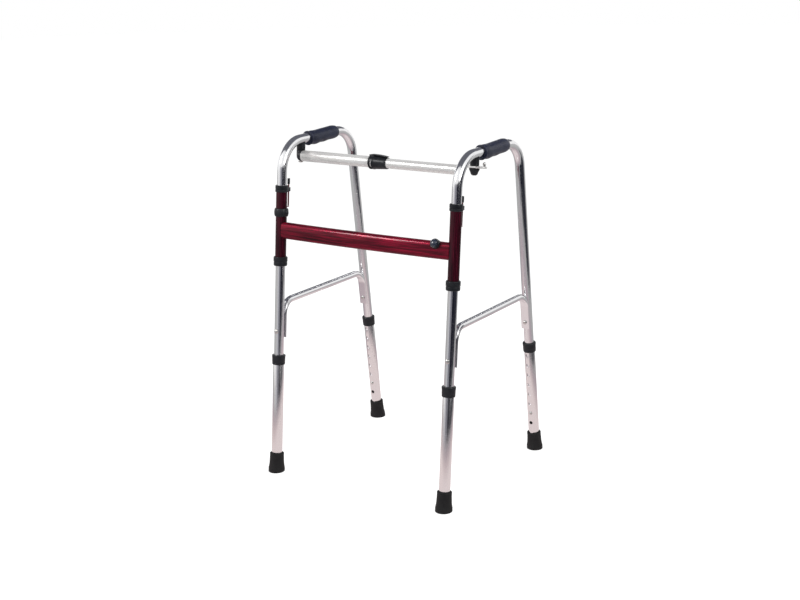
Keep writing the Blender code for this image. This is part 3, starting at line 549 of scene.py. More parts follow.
def makeLacquer(name, tint, metallic, coat):
    # Deep red metallic finish under a clear coat, with fine dark streaks that run along the tube
    tree, shader = newMaterial(name, {
        "Metallic": metallic, "IOR": 1.5, "Specular IOR Level": 0.04,
        "Coat Weight": coat, "Coat Roughness": 0.08,
    })
    figure = noise(tree, (150, 150, 7), detail=6.0, roughness=0.62, distortion=1.4)
    pores = noise(tree, (520, 520, 16), roughness=0.6)
    reds = [(place, [part * share for part, share in zip(red, tint)]) for place, red in lacquerReds]
    streaks = greyRamp(tree, pores, 0.40, 0.56, (0.25, 1.0))
    tone = mixColours(tree, ramp(tree, figure, *reds), streaks, share=0.55, blendType="MULTIPLY")
    dress(tree, shader, tone, greyRamp(tree, pores, 0.30, 0.70, (0.42, 0.24)))
    bump(tree, shader, noise(tree, 60, detail=2.0), strength=0.05, distance=0.0001)


def makeMoulded(name, deep, dusty, rough, pits, strength, coat):
    # Moulded plastic or rubber: fine pitting, dust in the hollows and rubbed patches
    tree, shader = newMaterial(name, {
        "Metallic": 0.0, "IOR": 1.5, "Specular IOR Level": 0.25,
        "Coat Weight": coat, "Coat Roughness": 0.2,
    })
    cloud = noise(tree, 45, detail=5.0, roughness=0.6)
    tone = ramp(tree, cloud, (0.32, deep), (0.75, dusty))
    dress(tree, shader, tone, greyRamp(tree, cloud, 0.30, 0.70, rough))
    bump(tree, shader, noise(tree, pits, roughness=0.65), strength, distance=0.0003)


def makeGripVinyl():
    # Semi-gloss blue-black vinyl with a leather-like grain
    tree, shader = newMaterial("gripVinyl", {"Metallic": 0.0, "IOR": 1.52, "Specular IOR Level": 0.26})
    creases = greyRamp(tree, cellEdges(tree, (620, 620, 430), randomness=0.9), 0.0, 0.16, (0, 1))
    cloud = noise(tree, (40, 40, 22), detail=5.0, roughness=0.6)
    skin = ramp(tree, cloud, (0.30, gripFinish["deep"]), (0.74, gripFinish["dusty"]))
    tone = mixColours(tree, skin, creases, share=0.22, blendType="MULTIPLY")
    dress(tree, shader, tone, greyRamp(tree, cloud, 0.28, 0.72, gripFinish["rough"]))
    first = bump(tree, shader, creases, strength=0.28, distance=0.00025)
    bump(tree, shader, noise(tree, 900, detail=2.0), strength=0.12, distance=0.0001, before=first)


def finishSteel(name, patterns):
    # Patches of tone and roughness over fine marks of the tool
    darker, lighter, rough = steelFinish[name]
    tree, shader = newMaterial(name, {"Metallic": 1.0, "IOR": 1.45})
    cloud, marks = patterns(tree)
    tone = ramp(tree, cloud, (0.30, darker), (0.70, lighter))
    dress(tree, shader, tone, greyRamp(tree, cloud, 0.30, 0.72, rough))
    bump(tree, shader, marks, strength=0.10, distance=0.00005)


def platedPatterns(tree):
    # Faint yellowing and turned rings on zinc-plated fixings
    return noise(tree, 150, detail=4.0), noise(tree, 1400, detail=2.0)


def drawnPatterns(tree):
    # The clips' springs keep their CAD meshes, so their pattern reads Object coordinates
    place = node(tree, "ShaderNodeTexCoord").outputs["Object"]
    cloud = node(tree, "ShaderNodeTexNoise", Scale=160.0, Detail=4.0)
    drawn = node(tree, "ShaderNodeTexNoise", Scale=1300.0, Detail=2.0)
    feed(tree, (cloud.inputs["Vector"], drawn.inputs["Vector"]), (place, place))
    return cloud.outputs["Fac"], drawn.outputs["Fac"]


def makeMaterials():
    wear = makeWearGroup()
    for name, finish in tubeFinish.items():
        makeBrightTube(name, wear, *finish)
    for name, finish in lacquerFinish.items():
        makeLacquer(name, *finish)
    for name, finish in mouldedFinish.items():
        makeMoulded(name, *finish)
    makeGripVinyl()
    finishSteel("steel", platedPatterns)
    finishSteel("springSteel", drawnPatterns)
    print("materials ready:", len(materials))


# side frames: bent tube, grip, brace and rivets

sideTube = {"startBelowButton": 0.020, "wall": 0.0012, "steps": (0.060, 0.0045)}
grip = {
    "front": -0.0490, "length": 0.1130, "top": 0.0146, "bottom": 0.0175, "side": 0.0145, "bore": 0.0114,
    "flange": 0.0045, "flangeTop": 0.0152, "flangeBottom": 0.0185, "flangeSide": 0.0160, "neck": 0.0006,
    "boreFrom": 0.5, "boreTo": 1.1,
    # the flange: share of its width and of its height, and how far in from the front
    "rim": (
        (0.90, 0.93, 0.0), (0.985, 0.985, 0.0007), (1.0, 1.0, 0.0016), (1.0, 1.0, 0.0030),
        (0.97, 0.97, 0.0040), (0.86, 0.88, 0.0046),
    ),
    # the finger swells: share of the length, then of the top, the bottom and the side
    "swells": (
        (0.00, 0.90, 0.86, 0.90), (0.06, 1.00, 0.98, 0.98), (0.13, 0.96, 1.07, 1.00),
        (0.20, 0.93, 1.12, 1.00), (0.28, 0.94, 1.06, 0.98), (0.36, 0.96, 0.98, 0.97),
        (0.43, 0.98, 1.01, 0.97), (0.50, 1.00, 1.04, 0.97), (0.57, 1.01, 1.00, 0.96),
        (0.64, 1.02, 0.94, 0.95), (0.72, 1.05, 0.93, 0.96), (0.80, 1.08, 0.94, 0.97),
        (0.87, 1.06, 0.93, 0.965), (0.93, 1.00, 0.90, 0.95), (0.97, 0.92, 0.85, 0.89),
        (1.00, 0.86, 0.80, 0.86),
    ),
}
brace = {
    "height": 0.402, "radius": 0.0080, "bend": 0.034, "flatWidth": 0.0210, "flatThickness": 0.0036,
    "flatRunOut": 0.004, "roundAfter": 0.72, "squareness": 3.0, "steps": (0.030, 0.0022), "sides": 56,
    "rivetHeight": 0.3375, "flatBelowRivet": 0.0160,
}
rivet = {
    "shank": 0.0029, "head": 0.0056, "headHeight": 0.0030, "headEdge": 0.0004, "sunk": 0.0002,
    "tail": 0.0046, "tailHeight": 0.0026, "sides": 40,
    # shares of the radius and the height
    "headRoot": 0.98,
    "headDome": ((0.94, 0.42), (0.78, 0.72), (0.52, 0.92), (0.25, 1.0)),
    "tailDome": ((0.55, 1.0), (0.85, 0.82), (1.0, 0.45), (1.0, 0.0)),
}


def sideRuns():
    low = walker["buttonHeight"] - sideTube["startBelowButton"]
    corners = frameCorners(0, low, walker["handleHeight"])
    return pathAlong(corners, (walker["frontBend"], walker["rearBend"]))


def makeSideTubes():
    runs = sideRuns()
    outer = walker["frameTube"]
    inner = outer - sideTube["wall"]
    marks = stations(runs, *sideTube["steps"])
    rings = [(outer, mark) for mark in marks] + [(inner, mark) for mark in reversed(marks)]
    bendBothSides(keepGrain(stackRings("tubeStock", rings, closed=True)), "side_tube", runs, angle=50)


def gripRings():
    start = grip["flange"] + grip["neck"]
    top, bottom = grip["flangeTop"], grip["flangeBottom"]
    rings = [
        (grip["flangeSide"] * wide, (top + bottom) / 2 * high, place, (top - bottom) / 2)
        for wide, high, place in grip["rim"]
    ]
    for share, top, bottom, width in grip["swells"]:
        high, low = grip["top"] * top, grip["bottom"] * bottom
        place = blend(start, grip["length"], share)
        rings.append((grip["side"] * width, (high + low) / 2, place, (high - low) / 2))
    return rings


def makeGrips():
    # Modelled upright with its top at +Y, then laid on the handle
    solid = applied(stackRings("gripStock", gripRings()), "SUBSURF", levels=1, render_levels=1)
    turn = Matrix.Rotation(math.radians(-90), 4, "X") @ Matrix.Rotation(math.pi, 4, "Z")
    lay = Matrix.Translation((0, grip["front"], walker["handleHeight"])) @ turn
    runs = sideRuns()
    marks = [mark for mark in stations(runs, *sideTube["steps"]) if grip["boreFrom"] < mark < grip["boreTo"]]
    bore = stackRings("gripBore", [(grip["bore"], mark) for mark in marks], sides=64)
    cutAway(solid, placeAt(bendAlong(bore, runs, 0.0), lay.inverted()))
    grained(solid, angle=50)
    placeBothSides(solid, "handgrip", "gripVinyl", "{}_side", lambda side: acrossPlace(side) @ lay)


def makeBraces():
    inset = frameFit + brace["flatThickness"] / 2
    corners = frameCorners(inset, brace["rivetHeight"] - brace["flatBelowRivet"], brace["height"])
    runs = pathAlong(corners, (brace["bend"], brace["bend"]))
    length = sum(run[3] for run in runs)
    flatEnd = runs[0][3] + brace["flatRunOut"]
    easing = runs[1][3] * brace["roundAfter"]

    def flatness(distance):
        return 1 - eased((min(distance, length - distance) - flatEnd) / easing)

    def halfSizes(distance):
        flat = flatness(distance)
        wide = blend(brace["radius"], brace["flatWidth"] / 2, flat)
        return wide, blend(brace["radius"], brace["flatThickness"] / 2, flat)

    rings = [(*halfSizes(mark), mark, 0.0) for mark in stations(runs, *brace["steps"])]
    straight = stackRings("braceStock", rings, brace["sides"])
    squareSection(straight, halfSizes, lambda distance: 2.0 + brace["squareness"] * flatness(distance))
    bendBothSides(keepGrain(straight), "brace", runs, angle=42)


def makeRivets():
    seat, under = frameFit - rivet["sunk"], -(frameFit + walker["gap"] + brace["flatThickness"])
    head, tail, shank, pole = rivet["head"], rivet["tail"], rivet["shank"], walker["pole"]
    high, low = rivet["headHeight"], rivet["tailHeight"]
    rings = [(pole, under - low), *shareRings(tail, under, -low, rivet["tailDome"])]
    rings += [(shank, under), (shank, seat)]
    rings += [(head * rivet["headRoot"], seat), (head, seat + rivet["headEdge"])]
    rings += [*shareRings(head, seat, high, rivet["headDome"]), (pole, seat + high)]
    stock = grained(stackRings("rivetStock", rings, rivet["sides"]))
    for side, name in sideName.items():
        for end in ends:
            out = facingPlace(side, end) @ Matrix.Translation((0, 0, brace["rivetHeight"]))
            place = out @ Matrix.Rotation(math.radians(90), 4, "X")
            piece = placeAt(copyOf(stock, f"{name}{end.title()}Rivet"), place)
            finishPiece(piece, "steel", name + "_side", f"{name}_{end}_brace_rivet")
    discard(stock)


# lower legs: tube with holes, collar, foot and snap button; steps of edges in millimetres

leg = {
    "bottom": 0.0120, "top": 0.2720, "hole": 0.0042, "pitch": 0.0254, "below": 1, "above": 6,
    "drillFrom": 0.002, "drillTo": 0.020,
}
legCollar = {
    "skirt": 0.0135, "lip": 0.0095, "wall": 0.0025,
    "skirtEdge": ((-1.2, 0), (-0.6, 0.6), (-0.3, 4.2), (-0.9, 4.6), (-0.9, 5.6), (-0.2, 6.0)),
    "shoulder": ((-0.2, 0),),
    "lipEdge": ((0.4, -3.0), (0.4, -1.6), (-0.3, -0.4), (-1.2, 0)),
}
foot = {
    "height": 0.0450, "wall": 0.0032, "base": 0.01925, "baseHeight": 0.0095, "sunk": 0.0060, "core": 0.0010,
    "baseEdge": ((0, -1.8), (-0.2, 0), (-0.9, 1.4)),
    "waist": ((2.2, 3.2), (1.3, 8.0)),
    "taper": ((0.9, 0.55), (0.4, 0.78)),   # out in millimetres, up as a share of the height
    "topEdge": ((0.4, -5.2), (-0.1, -4.8), (-0.1, -4.0), (0.5, -3.6), (0.4, -1.2), (-0.6, -0.2), (-1.4, 0)),
    "mouth": ((0.6, 0), (0, -0.6)),
}
button = {
    "radius": 0.0039, "out": 0.0025, "flange": 0.0013, "flangeHeight": 0.0010, "sides": 40,
    "dome": ((0, -2.1), (-0.195, -1.3), (-0.78, -0.6), (-1.95, -0.1)),
    "leafWidth": 0.0070, "leafThickness": 0.0006, "leafReach": 0.026,
}


def makeLegTube():
    tube = openTube("legStock", leg["bottom"] + walker["gap"], leg["top"])
    for step in range(-leg["below"], leg["above"] + 1):
        height = walker["buttonHeight"] + step * leg["pitch"]
        start, end = (0, leg["drillFrom"], height), (0, leg["drillTo"], height)
        cutAway(tube, cylinder("drill", leg["hole"], start, end))
    return grained(softenEdges(tube, width=0.00022, angle=50), angle=35)


def makeLegCollar():
    outer = outerFit + legCollar["wall"]
    bottom, top = leg["top"] - legCollar["skirt"], leg["top"] + legCollar["lip"]
    seat = leg["top"] + walker["gap"]
    rings = [(outerFit, bottom), *edgeRings(outer, bottom, legCollar["skirtEdge"])]
    rings += edgeRings(outer, leg["top"], legCollar["shoulder"]) + edgeRings(outer, top, legCollar["lipEdge"])
    rings += [(frameFit, top), (frameFit, seat), (outerFit, seat)]
    collar = stackRings("collarStock", rings, closed=True)
    return grained(softenEdges(collar, width=0.00025, angle=30), angle=35)


def makeFoot():
    # The sole reaches below the floor here and is cut level once the foot is in place
    waist, base, high, mid = outerFit + foot["wall"], foot["base"], foot["height"], foot["baseHeight"]
    rings = [(foot["core"], -foot["sunk"]), (base, -foot["sunk"]), *edgeRings(base, mid, foot["baseEdge"])]
    rings += edgeRings(waist, mid, foot["waist"])
    rings += [(waist + out / 1000, high * up) for out, up in foot["taper"]]
    rings += edgeRings(waist, high, foot["topEdge"]) + edgeRings(outerFit, high, foot["mouth"])
    rings += [(outerFit, leg["bottom"]), (foot["core"], leg["bottom"])]
    return keepGrain(stackRings("footStock", rings))


def levelFoot(rubber):
    editAll(rubber)
    bpy.ops.mesh.bisect(plane_co=(0, 0, 0), plane_no=(0, 0, 1), use_fill=True, clear_inner=True)
    leaveEdit()
    return smooth(softenEdges(rubber, width=0.0006, angle=50, segments=3))


def clipLevel():
    bore = walker["frameTube"] - sideTube["wall"]
    flange = button["radius"] + button["flange"]
    return math.sqrt(bore ** 2 - flange ** 2) - walker["gap"] - button["flangeHeight"]


def makeButton():
    # Domed button on its spring leaf, facing +Y
    r, back, height = button["radius"], clipLevel(), walker["buttonHeight"]
    tip, flange = walker["outerTube"] + button["out"], r + button["flange"]
    face = back + button["flangeHeight"]
    rings = [(flange, back - walker["pole"]), (flange, face), (r, face)]
    rings += [*edgeRings(r, tip, button["dome"]), (walker["pole"], tip)]
    dome = stackRings("buttonStock", rings, button["sides"])
    placeAt(dome, Matrix.Translation((0, 0, height)) @ Matrix.Rotation(math.radians(-90), 4, "X"))
    leafTop, leafLow, thick = height + button["leafReach"], height - r, button["leafThickness"]
    leafSize = (button["leafWidth"], thick, leafTop - leafLow)
    return grained(weldOn(dome, box("leaf", leafSize, (0, back - thick / 2, (leafTop + leafLow) / 2))))


def makeLowerLegs():
    stocks = {
        # stock piece, finish, body that it rides on
        "leg_tube": (makeLegTube(), "legAluminium", "leg"),
        "leg_collar": (makeLegCollar(), "blackPlastic", "leg"),
        "foot": (makeFoot(), "footRubber", "leg"),
        "button": (makeButton(), "steel", "snap"),
    }
    for side, name in sideName.items():
        for end in ends:
            for part, (stock, finish, body) in stocks.items():
                node = f"{name}_{end}_{part}"
                piece = placeAt(copyOf(stock, pieceName(node)), facingPlace(side, end))
                if part == "foot":
                    levelFoot(piece)
                finishPiece(piece, finish, f"{name}_{end}_{body}", node)
    discard(*(stock for stock, finish, body in stocks.values()))
    print("lower legs done")


# front frame: crossbar, sleeves, collars, levers, ring and knob; steps of edges in millimetres

sleeve = {"bottom": 0.4940, "top": 0.6735}
sleeveCollar = {
    "lip": 0.0025, "topWall": 0.0018, "topHeight": 0.0155, "lowWall": 0.0032, "lowHeight": 0.0210,
    "topSkirt": ((-1.0, 0), (0, 1.2), (0, 5.6), (-0.8, 6.0), (-0.8, 6.8), (0, 7.2)),
    "lowSkirt": ((-1.4, 0), (-0.6, 1.0), (-0.4, 7.8), (-1.2, 8.4), (-1.2, 9.4), (0, 10.2)),
    "topEdge": ((0, -1.4), (-1.0, 0)),
}
crossbar = {
    "middle": 0.5740, "height": 0.0380, "thickness": 0.0220, "bow": 0.0100, "squareness": 2.7, "steps": 46,
    "endInSleeve": 0.6,
}
knob = {
    "across": 0.190, "tilt": math.radians(25), "bezel": 0.01075, "wall": 0.0020, "depth": 0.0070,
    "root": 0.0120, "out": 0.0065, "dome": 0.0056, "rest": 0.0055, "stem": 0.0030, "stemReach": 0.0130,
    "bezelEdge": ((0, -1.6), (-0.3, -0.6), (-1.0, 0)), "fullness": 0.85,
}
lockRing = {
    "middle": 0.6145, "height": 0.0185, "wall": 0.0034, "edge": 0.0022, "lobe": 0.0055, "lobeReach": 0.0030,
    "lobeHeight": 0.84, "steps": 10,
}
lever = {
    "bottom": 0.6275, "back": 0.0255, "thickness": 0.0012, "width": 0.0036,
    "pin": 0.0017, "pinHeight": 0.6655,
    "rib": (0.0014, 0.0010), "ribOut": 0.0008, "ribLength": 0.72, "ribMiddle": 0.42, "ribEdge": 0.0004,
    "shelf": 0.0022,   # thickness of the bracket
    "tip": (0.0052, 0.0048, 0.0140), "tipEdge": 0.0013, "edge": 0.0003,
    "groove": 0.0006, "grooves": 4, "grooveStart": 0.0042, "groovePitch": 0.0024,
    "ear": (0.0026, 0.0095), "earReach": 0.0270, "earEdge": 0.0008,
}


def crossbarBow(across):
    return -crossbar["bow"] * (1 - (across / hingeAt(1)) ** 2)


def crossbarShape(name, reach, grow=0.0):
    # Modelled upright as a straight bar, then laid across and bowed forward
    deep, wide = crossbar["height"] / 2 + grow, crossbar["thickness"] / 2 + grow
    steps = crossbar["steps"]
    bar = stackRings(name, [(wide, deep, blend(-reach, reach, i / steps), 0.0) for i in range(steps + 1)])
    keepGrain(squareSection(bar, lambda mark: (wide, deep), lambda mark: crossbar["squareness"]))
    for vertex in bar.data.vertices:
        x, y, z = vertex.co
        vertex.co = (z, crossbarBow(z) + x, crossbar["middle"] + y)
    bar.data.update()
    return placeAt(faceOutwards(bar), frontPlace())


def makeCrossbar():
    bar = crossbarShape("crossbarPiece", hingeAt(1) - walker["outerTube"] * crossbar["endInSleeve"])
    finishPiece(smooth(bar, angle=50), "redLacquer", "front_frame", "crossbar")


def makeSleeves():
    stock = grained(openTube("sleeveStock", sleeve["bottom"], sleeve["top"]), angle=35)
    placeBothSides(stock, "sleeve", "darkLacquer", "front_frame")


def sleeveCore(low, high):
    # Cuts a piece back to the sleeve's own round
    return cylinder("core", outerFit, (0, 0, low), (0, 0, high), sides=72)


def makeUpperCollars():
    # A grooved ring with two ears for the lock lever's pin
    outer = outerFit + sleeveCollar["topWall"]
    seat = sleeve["top"] + walker["gap"]
    top = seat + sleeveCollar["lip"]
    low = top - sleeveCollar["topHeight"]
    rings = [(outerFit, low), *edgeRings(outer, low, sleeveCollar["topSkirt"])]
    rings += edgeRings(outer, top, sleeveCollar["topEdge"])
    rings += [(frameFit, top), (frameFit, seat), (outerFit, seat)]
    collar = stackRings("upperCollarStock", rings, closed=True)
    earWide, earHigh = lever["ear"]
    reach = lever["earReach"] - outerFit
    for hand in (-1, 1):
        across = hand * (lever["width"] / 2 + walker["gap"] + earWide / 2)
        centre = (across, lever["earReach"] - reach / 2, lever["pinHeight"])
        ear = box("ear", (earWide, reach, earHigh), centre, lever["earEdge"])
        weldOn(collar, cutAway(ear, sleeveCore(low=0.6, high=0.7)))
    softenEdges(collar, width=0.0002, angle=30)
    placeBothSides(grained(collar, angle=35), "sleeve_top_collar", "blackPlastic", "front_frame")


def makeLowerCollars():
    outer = outerFit + sleeveCollar["lowWall"]
    seat = sleeve["bottom"] - walker["gap"]
    low = seat - sleeveCollar["lip"]
    top = low + sleeveCollar["lowHeight"]
    rings = [(frameFit, low), *edgeRings(outer, low, sleeveCollar["lowSkirt"])]
    rings += edgeRings(outer, top, sleeveCollar["topEdge"])
    rings += [(outerFit, top), (outerFit, seat), (frameFit, seat)]
    collar = softenEdges(stackRings("lowerCollarStock", rings, closed=True), width=0.00025, angle=30)
    placeBothSides(grained(collar, angle=35), "sleeve_bottom_collar", "blackPlastic", "front_frame")


def leverTop():
    return sleeve["top"] + walker["gap"] + sleeveCollar["lip"]


def makeLeverStrips():
    bottom, back, level = lever["bottom"], lever["back"], lever["pinHeight"]
    length = leverTop() - bottom
    size = (lever["width"], lever["thickness"], length)
    strip = box("stripStock", size, (0, back, bottom + length / 2), lever["edge"])
    pin = cylinder("pin", lever["pin"], (0, frameFit + walker["gap"], level), (0, back, level))
    ribSize = (*lever["rib"], length * lever["ribLength"])
    middle = (0, back + lever["ribOut"], bottom + length * lever["ribMiddle"])
    rib = box("rib", ribSize, middle, lever["ribEdge"])
    placeBothSides(grained(weldOn(strip, pin, rib)), "lever_strip", "redLacquer", "{}_lock_lever")


def makeLeverTips():
    wide, deep, high = lever["tip"]
    face = lever["back"] + deep / 2
    middle = (0, lever["back"], leverTop() + walker["gap"] + high / 2)
    tip = box("tipStock", lever["tip"], middle, lever["tipEdge"], segments=3)
    for step in range(lever["grooves"]):
        level = leverTop() + lever["grooveStart"] + step * lever["groovePitch"]
        cutAway(tip, cylinder("groove", lever["groove"], (-wide, face, level), (wide, face, level), sides=12))
    placeBothSides(grained(tip), "lever_tip", "blackPlastic", "{}_lock_lever")


def makeLeverBrackets():
    tube, reach, thick = walker["frameTube"], lever["back"] + lever["thickness"], lever["shelf"]
    middle = (0, (reach + tube) / 2, lever["bottom"] - walker["gap"] - thick / 2)
    bracket = box("bracketStock", (lever["width"], reach - tube, thick), middle, lever["edge"])
    cutAway(bracket, sleeveCore(low=0.5, high=0.7))
    placeBothSides(grained(bracket), "lever_bracket", "redLacquer", "front_frame")


def makeLockRing():
    outer, half = outerFit + lockRing["wall"], lockRing["height"] / 2
    edge, size = lockRing["edge"], lockRing["lobe"]
    rings = [(outerFit, -half), (outer - edge, -half)]
    for step in range(1, lockRing["steps"]):
        angle = math.pi * (step / lockRing["steps"] - 0.5)
        rings.append((outer - edge + edge * math.cos(angle), half * math.sin(angle)))
    rings += [(outer - edge, half), (outerFit, half)]
    ring = stackRings("lockRingPiece", rings, closed=True)
    for hand in (-1, 1):
        clearSelection()
        bpy.ops.mesh.primitive_uv_sphere_add(segments=32, ring_count=18, radius=1.0, location=(0, 0, 0))
        centre = Matrix.Translation((hand * (outer + lockRing["lobeReach"] - size), 0, 0))
        shape = Matrix.Diagonal((size, size, half * lockRing["lobeHeight"], 1.0))
        lobe = placeAt(named("lobe"), centre @ shape)
        weldOn(ring, cutAway(lobe, sleeveCore(low=-0.05, high=0.05)))
    grained(softenEdges(ring, width=0.0003))
    placeAt(ring, legPlace(-1) @ Matrix.Translation((0, 0, lockRing["middle"])))
    finishPiece(ring, "blackPlastic", "sleeve_lock_ring", "lock_ring")


def knobPlace():
    # On the crossbar's rounded front, where its surface looks up by the knob's tilt
    power = crossbar["squareness"]
    thick, high = crossbar["thickness"] / 2, crossbar["height"] / 2
    rise = (math.tan(knob["tilt"]) * (high / thick) ** power) ** (1 / (power - 1))
    face = thick / (1 + (rise * thick / high) ** power) ** (1 / power)
    front = crossbarBow(knob["across"]) - face
    at = Matrix.Translation((knob["across"], front, crossbar["middle"] + rise * face))
    return frontPlace() @ at @ Matrix.Rotation(math.pi / 2 - knob["tilt"], 4, "X")


def makeKnobBezel():
    outer, depth, root = knob["bezel"], knob["depth"], knob["root"]
    inner = outer - knob["wall"]
    rings = [(inner, -root), (outer, -root), *edgeRings(outer, depth, knob["bezelEdge"]), (inner, depth)]
    bezel = placeAt(keepGrain(stackRings("knobBezel", rings, closed=True)), knobPlace())
    cutAway(bezel, crossbarShape("seat", hingeAt(1), walker["gap"]))
    finishPiece(smooth(bezel), "blackPlastic", "front_frame", "push_knob_bezel")


def makeKnob():
    cap, rest, stem = knob["bezel"] - knob["wall"] - walker["gap"], knob["rest"], knob["stem"]
    base = knob["depth"] + knob["out"] - knob["dome"]
    rings = [(stem, rest - knob["stemReach"]), (stem, rest), (cap, rest), (cap, base)]
    for angle in turns(0, 90, 8)[1:]:
        radius = max(cap * math.cos(angle) ** knob["fullness"], walker["pole"])
        rings.append((radius, base + knob["dome"] * math.sin(angle)))
    dome = placeAt(grained(stackRings("pushKnob", rings), angle=45), knobPlace())
    finishPiece(dome, "knobPlastic", "crossbar_knob", "push_knob")


# telescopic bar between the handles; steps of edges in millimetres

topBar = {
    "back": 0.0700, "height": 0.730, "outerStart": 0.0070, "outerEnd": 0.2050, "overlap": 0.0950,
    "plateWidth": 0.0220, "plateThickness": 0.0040, "plateAboveTube": 0.0006, "plateReach": 0.0294,
    "plateRoot": 0.0210, "plateTaper": 0.0200, "plateSquareness": 6.0, "lastRound": 0.05, "noseEnd": 88.65,
    "plugReach": 0.0085, "plugDome": 0.0100, "plugDepth": 0.0120, "plugCore": 0.0008,
    "plugRim": ((0, -0.4), (-0.2, 0)), "washer": 0.0016, "washerEdge": 0.0003,
    "hole": 0.0032, "through": 0.03,   # a cutter's reach right through a piece
    "bush": 0.0100, "bushEdge": ((-1.0, 0), (-0.2, 0.6), (0, 1.4)), "bushTop": 0.0045,
    "saddleSteps": (0.060, 0.0060),
}
barKnob = {
    "radius": 0.0115, "height": 0.0160,
    "cone": ((0.38, 1.0), (0.45, 0.9625), (0.62, 0.86), (0.80, 0.50)),   # shares, downwards
    "topEdge": ((-0.345, -4.2), (0, -3.0), (0, -1.2), (-1.2, 0)),
}
endStud = {
    "radius": 0.0035, "height": 0.0090, "reach": 0.0240,
    "neck": ((-0.875, 0), (-0.875, 2.6), (0, 3.0)), "dome": ((0, -3.2), (-0.35, -1.6), (-1.575, -0.4)),
}
pivotBolt = {
    "headHeight": 0.0030, "head": ((-3.92, -3.0), (-2.128, -2.6), (-0.56, -1.7), (0, -0.8), (0, 0)),
    "nut": 0.00425, "nutHeight": 0.0030, "nutAboveWall": 0.0036, "sides": 48,
}


def barPlace(side=-1):
    lean = walker["frontLean"]
    level = (topBar["height"] + topBar["back"] * math.sin(lean)) / math.cos(lean)
    return frontPlace() @ Matrix.Translation((hingeAt(side), topBar["back"], level))


def layAlong():
    # Turns an upright piece so that its height runs along +X and its -X looks up
    return barPlace() @ Matrix.Rotation(math.radians(90), 4, "Y")


def hingeEnd(beyond=0.0):
    # Over the bar's left pivot, or beyond it
    return barPlace() @ Matrix.Translation((walker["hingeSpacing"] + beyond, 0, 0))


def plateLift():
    return walker["frameTube"] + topBar["plateAboveTube"] - topBar["plateThickness"] / 2


def plateTop():
    return plateLift() + topBar["plateThickness"] / 2


def handleDrop():
    return (walker["handleHeight"] - topBar["height"]) / math.cos(walker["frontLean"])


def makeOuterTube():
    tube = openTube("barOuterTube", topBar["outerStart"], topBar["outerEnd"])
    notch = cylinder("notch", topBar["bush"] + walker["gap"], (0, 0, 0), (-topBar["through"], 0, 0), sides=64)
    cutAway(tube, notch)
    placeAt(grained(softenEdges(tube, width=0.0002, angle=50), angle=35), layAlong())
    finishPiece(tube, "barAluminium", "bar_outer", "bar_outer_tube")


def makeEndPlug():
    outer, inner, core = walker["outerTube"], walker["outerBore"] - walker["gap"], topBar["plugCore"]
    rim, deep = topBar["outerStart"] - walker["gap"], topBar["outerStart"] + topBar["plugDepth"]
    reach, dome = topBar["plugReach"], topBar["plugDome"]
    rings = [(walker["pole"], -reach)]
    for angle in turns(90, 0, 12)[1:]:
        rings.append((outer * math.cos(angle), dome * (1 - math.sin(angle)) - reach))
    rings += [*edgeRings(outer, rim, topBar["plugRim"]), (inner, rim), (inner, deep), (core, deep)]
    plug = stackRings("barEndPlug", rings)
    weldOn(plug, cylinder("boss", topBar["bush"], (0, 0, 0), (-outer, 0, 0), sides=72))
    through = topBar["through"]
    cutAway(plug, cylinder("drill", topBar["hole"], (-through, 0, 0), (through, 0, 0)))
    placeAt(grained(softenEdges(plug, width=0.0003), angle=35), layAlong())
    finishPiece(plug, "blackPlastic", "bar_outer", "bar_end_plug")


def makeInnerTube():
    # Drawn upright with the lift of its flat end towards +Y, which turns upward when laid down
    radius, pivot, taper = walker["frameTube"], walker["hingeSpacing"], topBar["plateTaper"]
    roundEnd = pivot - topBar["plateRoot"] - taper
    halfWide, halfThick = topBar["plateWidth"] / 2, topBar["plateThickness"] / 2
    nose = pivot + topBar["plateReach"] - halfWide

    def flatness(mark):
        return eased((mark - roundEnd) / taper)

    def lift(mark):
        return plateLift() * flatness(mark)

    def halfSizes(mark):
        wide = blend(radius, halfWide, flatness(mark))
        if mark > nose:
            wide = halfWide * math.cos(math.asin(min((mark - nose) / halfWide, 1.0)))
        return wide, blend(radius, halfThick, flatness(mark))

    marks = [topBar["outerEnd"] - topBar["overlap"], roundEnd - topBar["lastRound"]]
    marks += [roundEnd + taper * step / 14 for step in range(15)]
    angles = [*turns(0, 90, 12)[:-1], math.radians(topBar["noseEnd"])]
    marks += [nose + halfWide * math.sin(angle) for angle in angles]
    tube = stackRings("barInnerTube", [(*halfSizes(mark), mark, lift(mark)) for mark in marks])
    squareSection(tube, halfSizes, lambda mark: 2.0 + topBar["plateSquareness"] * flatness(mark), lift)
    grained(cutAway(tube, cylinder("drill", topBar["hole"], (0, 0, pivot), (0, topBar["through"], pivot))))
    # upright x, y, z become across, up and along the bar
    lay = Matrix(((0, 0, 1, 0), (1, 0, 0, 0), (0, 1, 0, 0), (0, 0, 0, 1)))
    finishPiece(placeAt(tube, barPlace() @ lay), "barAluminium", "bar_inner", "bar_inner_tube")


def makeBarKnob():
    top, seat = plateTop(), plateTop() - topBar["plateThickness"] - walker["gap"]
    wide, high, shank, pole = barKnob["radius"], barKnob["height"], rivet["shank"], walker["pole"]
    rings = [(pole, seat - high), *shareRings(wide, seat, -high, barKnob["cone"])]
    rings += [*edgeRings(wide, seat, barKnob["topEdge"]), (shank, seat), (shank, top), (pole, top)]
    piece = placeAt(grained(stackRings("barKnob", rings), angle=32), hingeEnd())
    finishPiece(piece, "blackPlastic", "bar_inner", "bar_knob")


